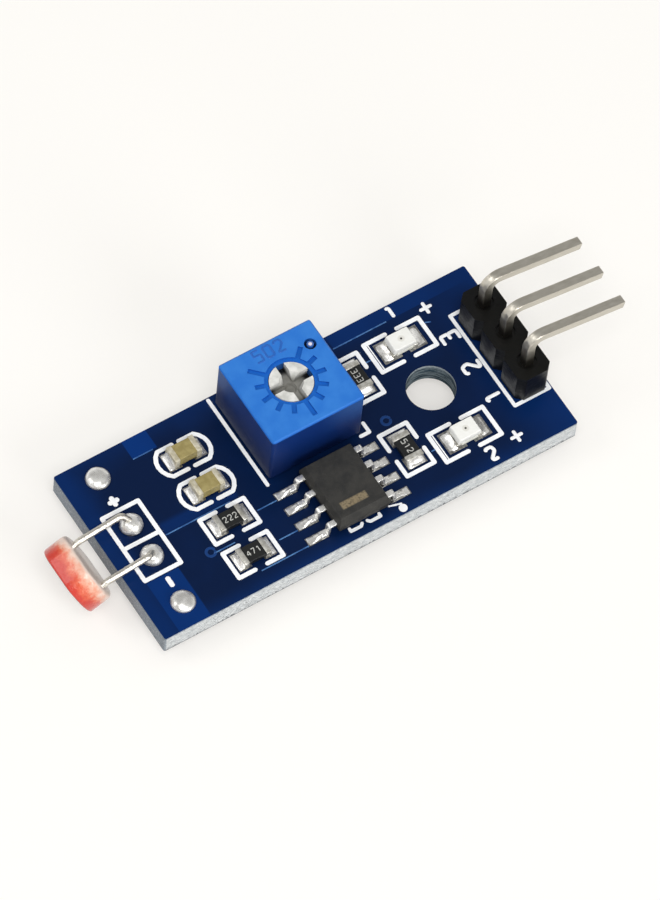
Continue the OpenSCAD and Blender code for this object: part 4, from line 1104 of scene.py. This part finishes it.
brass = two_tones("contact_brass", {"Metallic": 1.0, "Roughness": 0.3},
                  4, shade(198, 160, 84), shade(226, 190, 112))
dress(brass, "trimmer_wiper")
carbon = two_tones("resistive_ink", {"Roughness": 0.6}, 6, shade(22, 22, 22), shade(44, 43, 42))
dress(carbon, "trimmer_track")
fired = two_tones("white_ceramic", {"Roughness": 0.55},
                  5, shade(226, 224, 216), shade(240, 238, 232))
dress(fired, "trimmer_substrate")
epoxy, shader, place = finish("dark_epoxy", {"Roughness": 0.35})
put(shader, "Base Color", place.mix(noise(place, 2), shade(20, 24, 40), shade(34, 40, 62)))
bump(shader, noise(place, 1.5, 3), 0.08)
dress(epoxy, "trimmer_potting")
rubber = two_tones("seal_rubber", {"Roughness": 0.6}, 6, shade(16, 16, 16), shade(30, 30, 30))
dress(rubber, "trimmer_seal_ring")

raised = two_tones("raised_blue_numbers", {"Roughness": 0.34, "Specular IOR Level": 0.4},
                   3, shade(30, 92, 178), shade(40, 104, 190))
MOULDED_STROKE = 0.15
MOULDED_RISE = 0.03
MOULDED_CORNER = 0.05
lines = number("502", middle=(-9.35, 5.36), height=0.88)
lay_lines("housing_number", lines, MOULDED_STROKE, MOULDED_RISE, TRIMMER_TOP, raised,
          "trimmer_blue", MOULDED_CORNER)

# Comparator.
# Black epoxy moulded round a copper frame, whose plated leads are bent down and soldered. The
# solder runs out past each toe and widens over its pad. A tan bar of ink lies on the top.
BAR = (-10.24, -5.43, -8.33, -4.90)
moulded, shader, place = finish("moulded_epoxy", {"Roughness": 0.55, "Specular IOR Level": 0.3})
x, y, _ = along(place)
cloud = noise(place, 1.4, 4)
speck = noise(place, 18, 3, 0.6)
tone = place.mix(cloud.rise(0.3, 0.7), shade(40, 40, 39), shade(54, 53, 50))
tone = place.mix(speck.rise(0.56, 0.7) * 0.4, tone, shade(86, 84, 78))
worn = noise(place, 7, 3).rise(0.30, 0.55) * 0.45 + 0.3
tone = place.mix(window(x, y, BAR, 0.06) * worn, tone, shade(150, 134, 104))
put(shader, "Base Color", tone)
bump(shader, speck + cloud * 0.4, 0.02)
softened(["comparator_body"], moulded, "chip_black", edge=0.04)

plated, shader, place = finish("plated_lead", {"Metallic": 0.75})
cloud = noise(place, 3.5, 3)
put(shader, "Base Color", place.mix(cloud, shade(226, 224, 219), shade(250, 249, 245)))
put(shader, "Roughness", 0.18 + cloud * 0.2)
bump(shader, cloud, 0.05)
LEADS = range(1, 9)
softened([f"comparator_lead_{n}" for n in LEADS], plated, "chip_lead", edge=0.05)

TOE_OVERLAP = 0.12
TAIL_HALF_WIDTH = 0.31
TAIL_HEIGHT = 0.26
chip_side = span("comparator_body")[1].x
solder_low, solder_high = span("comparator_solder")
places = []
for n in LEADS:
    low, high = span(f"comparator_lead_{n}")
    if high.x > chip_side:
        start, end, angle = high.x - TOE_OVERLAP, solder_high.x, 0
    else:
        start, end, angle = low.x + TOE_OVERLAP, solder_low.x, 180
    size = (abs(end - start), TAIL_HALF_WIDTH, TAIL_HEIGHT)
    places.append(((start, (low.y + high.y) / 2, HEAP_FOOT), angle, size))
form = heap("foot_tail", spread=0.38, seed=33)
solder("foot_tails", form, places, "comparator_solder", unevenness=0.3)

# Indicator lights.
# A white laminate base with plated half-round ends, a tiny die bonded on it, and a clear lens
# moulded over both. The ends are soldered to their pads like those of the other small parts.
laminate = two_tones("white_laminate", {"Roughness": 0.5},
                     4, shade(222, 222, 210), shade(242, 242, 234))
softened(["light_1_base", "light_2_base"], laminate, "light_base", edge=0.03)
die = two_tones("light_die", {"Roughness": 0.4}, 10, shade(46, 44, 38), shade(84, 80, 68))
dress(die, "light_1_die", "light_2_die")

# The two lights mirror each other, so one distance serves both dies.
lens, shader, place = finish("clear_lens", {
    "Roughness": 0.14, "IOR": 1.45, "Transmission Weight": 0.05,
})
cloud = noise(place, 3, 3)
x, y, _ = along(place)
die_middle = middle_of("light_1_die")
between = (die_middle.y + middle_of("light_2_die").y) / 2
aside = abs(y - between) - (die_middle.y - between)
lengthwise = x - die_middle.x
from_die = (lengthwise * lengthwise + aside * aside).root()
tone = place.mix(cloud, shade(244, 243, 236), shade(254, 254, 250))
tone = place.mix((1 - from_die.rise(0.16, 0.30)) * 0.35, tone, shade(196, 190, 172))
tone = place.mix(1 - from_die.rise(0.05, 0.10), tone, shade(52, 48, 42))
put(shader, "Base Color", tone)
bump(shader, cloud, 0.04)
softened(["light_1_lens", "light_2_lens"], lens, "clear_resin", edge=0.06)
softened(["light_1_ends", "light_2_ends"], dipped, "cap_tin", edge=0.03)

# Header.
# A black moulded strip of three segments, and three square plated pins pressed through it,
# then bent out over the board's end. Where the pins stand upright they are painted darker, as painted
# shade and a painted reflection of the black strip.
BEND_STARTS = 4.4
BEND_ENDS = 5.5
black, shader, place = finish("header_black", {"Roughness": 0.34, "Specular IOR Level": 0.22})
cloud = noise(place, 1.6, 4)
put(shader, "Base Color", place.mix(cloud, shade(5, 6, 6), shade(14, 14, 13)))
bump(shader, noise(place, 3.5, 3) + cloud, 0.02)
softened(["header_block"], black, "header_black", edge=0.06)

pin, shader, place = finish("plated_pin", {"Metallic": 1.0})
streak = noise(stretched(place, (0.25, 1, 1)), 5, 4)
z = along(place)[2]
# Painted shade and painted reflection: the upright parts of the pins are darker.
upright_shade_and_reflection = z.rise(BOARD_TOP - 0.1, BOARD_TOP + 0.2) * (1 - z.rise(BEND_STARTS, BEND_ENDS))
tone = place.mix(streak, shade(186, 180, 166), shade(218, 213, 202))
put(shader, "Base Color", place.mix(upright_shade_and_reflection, tone, shade(112, 108, 98)))
put(shader, "Roughness", 0.24 + streak * 0.2)
bump(shader, streak, 0.02)
softened([f"header_pin_{n}" for n in (1, 2, 3)], pin, "header_pin", edge=0.05)
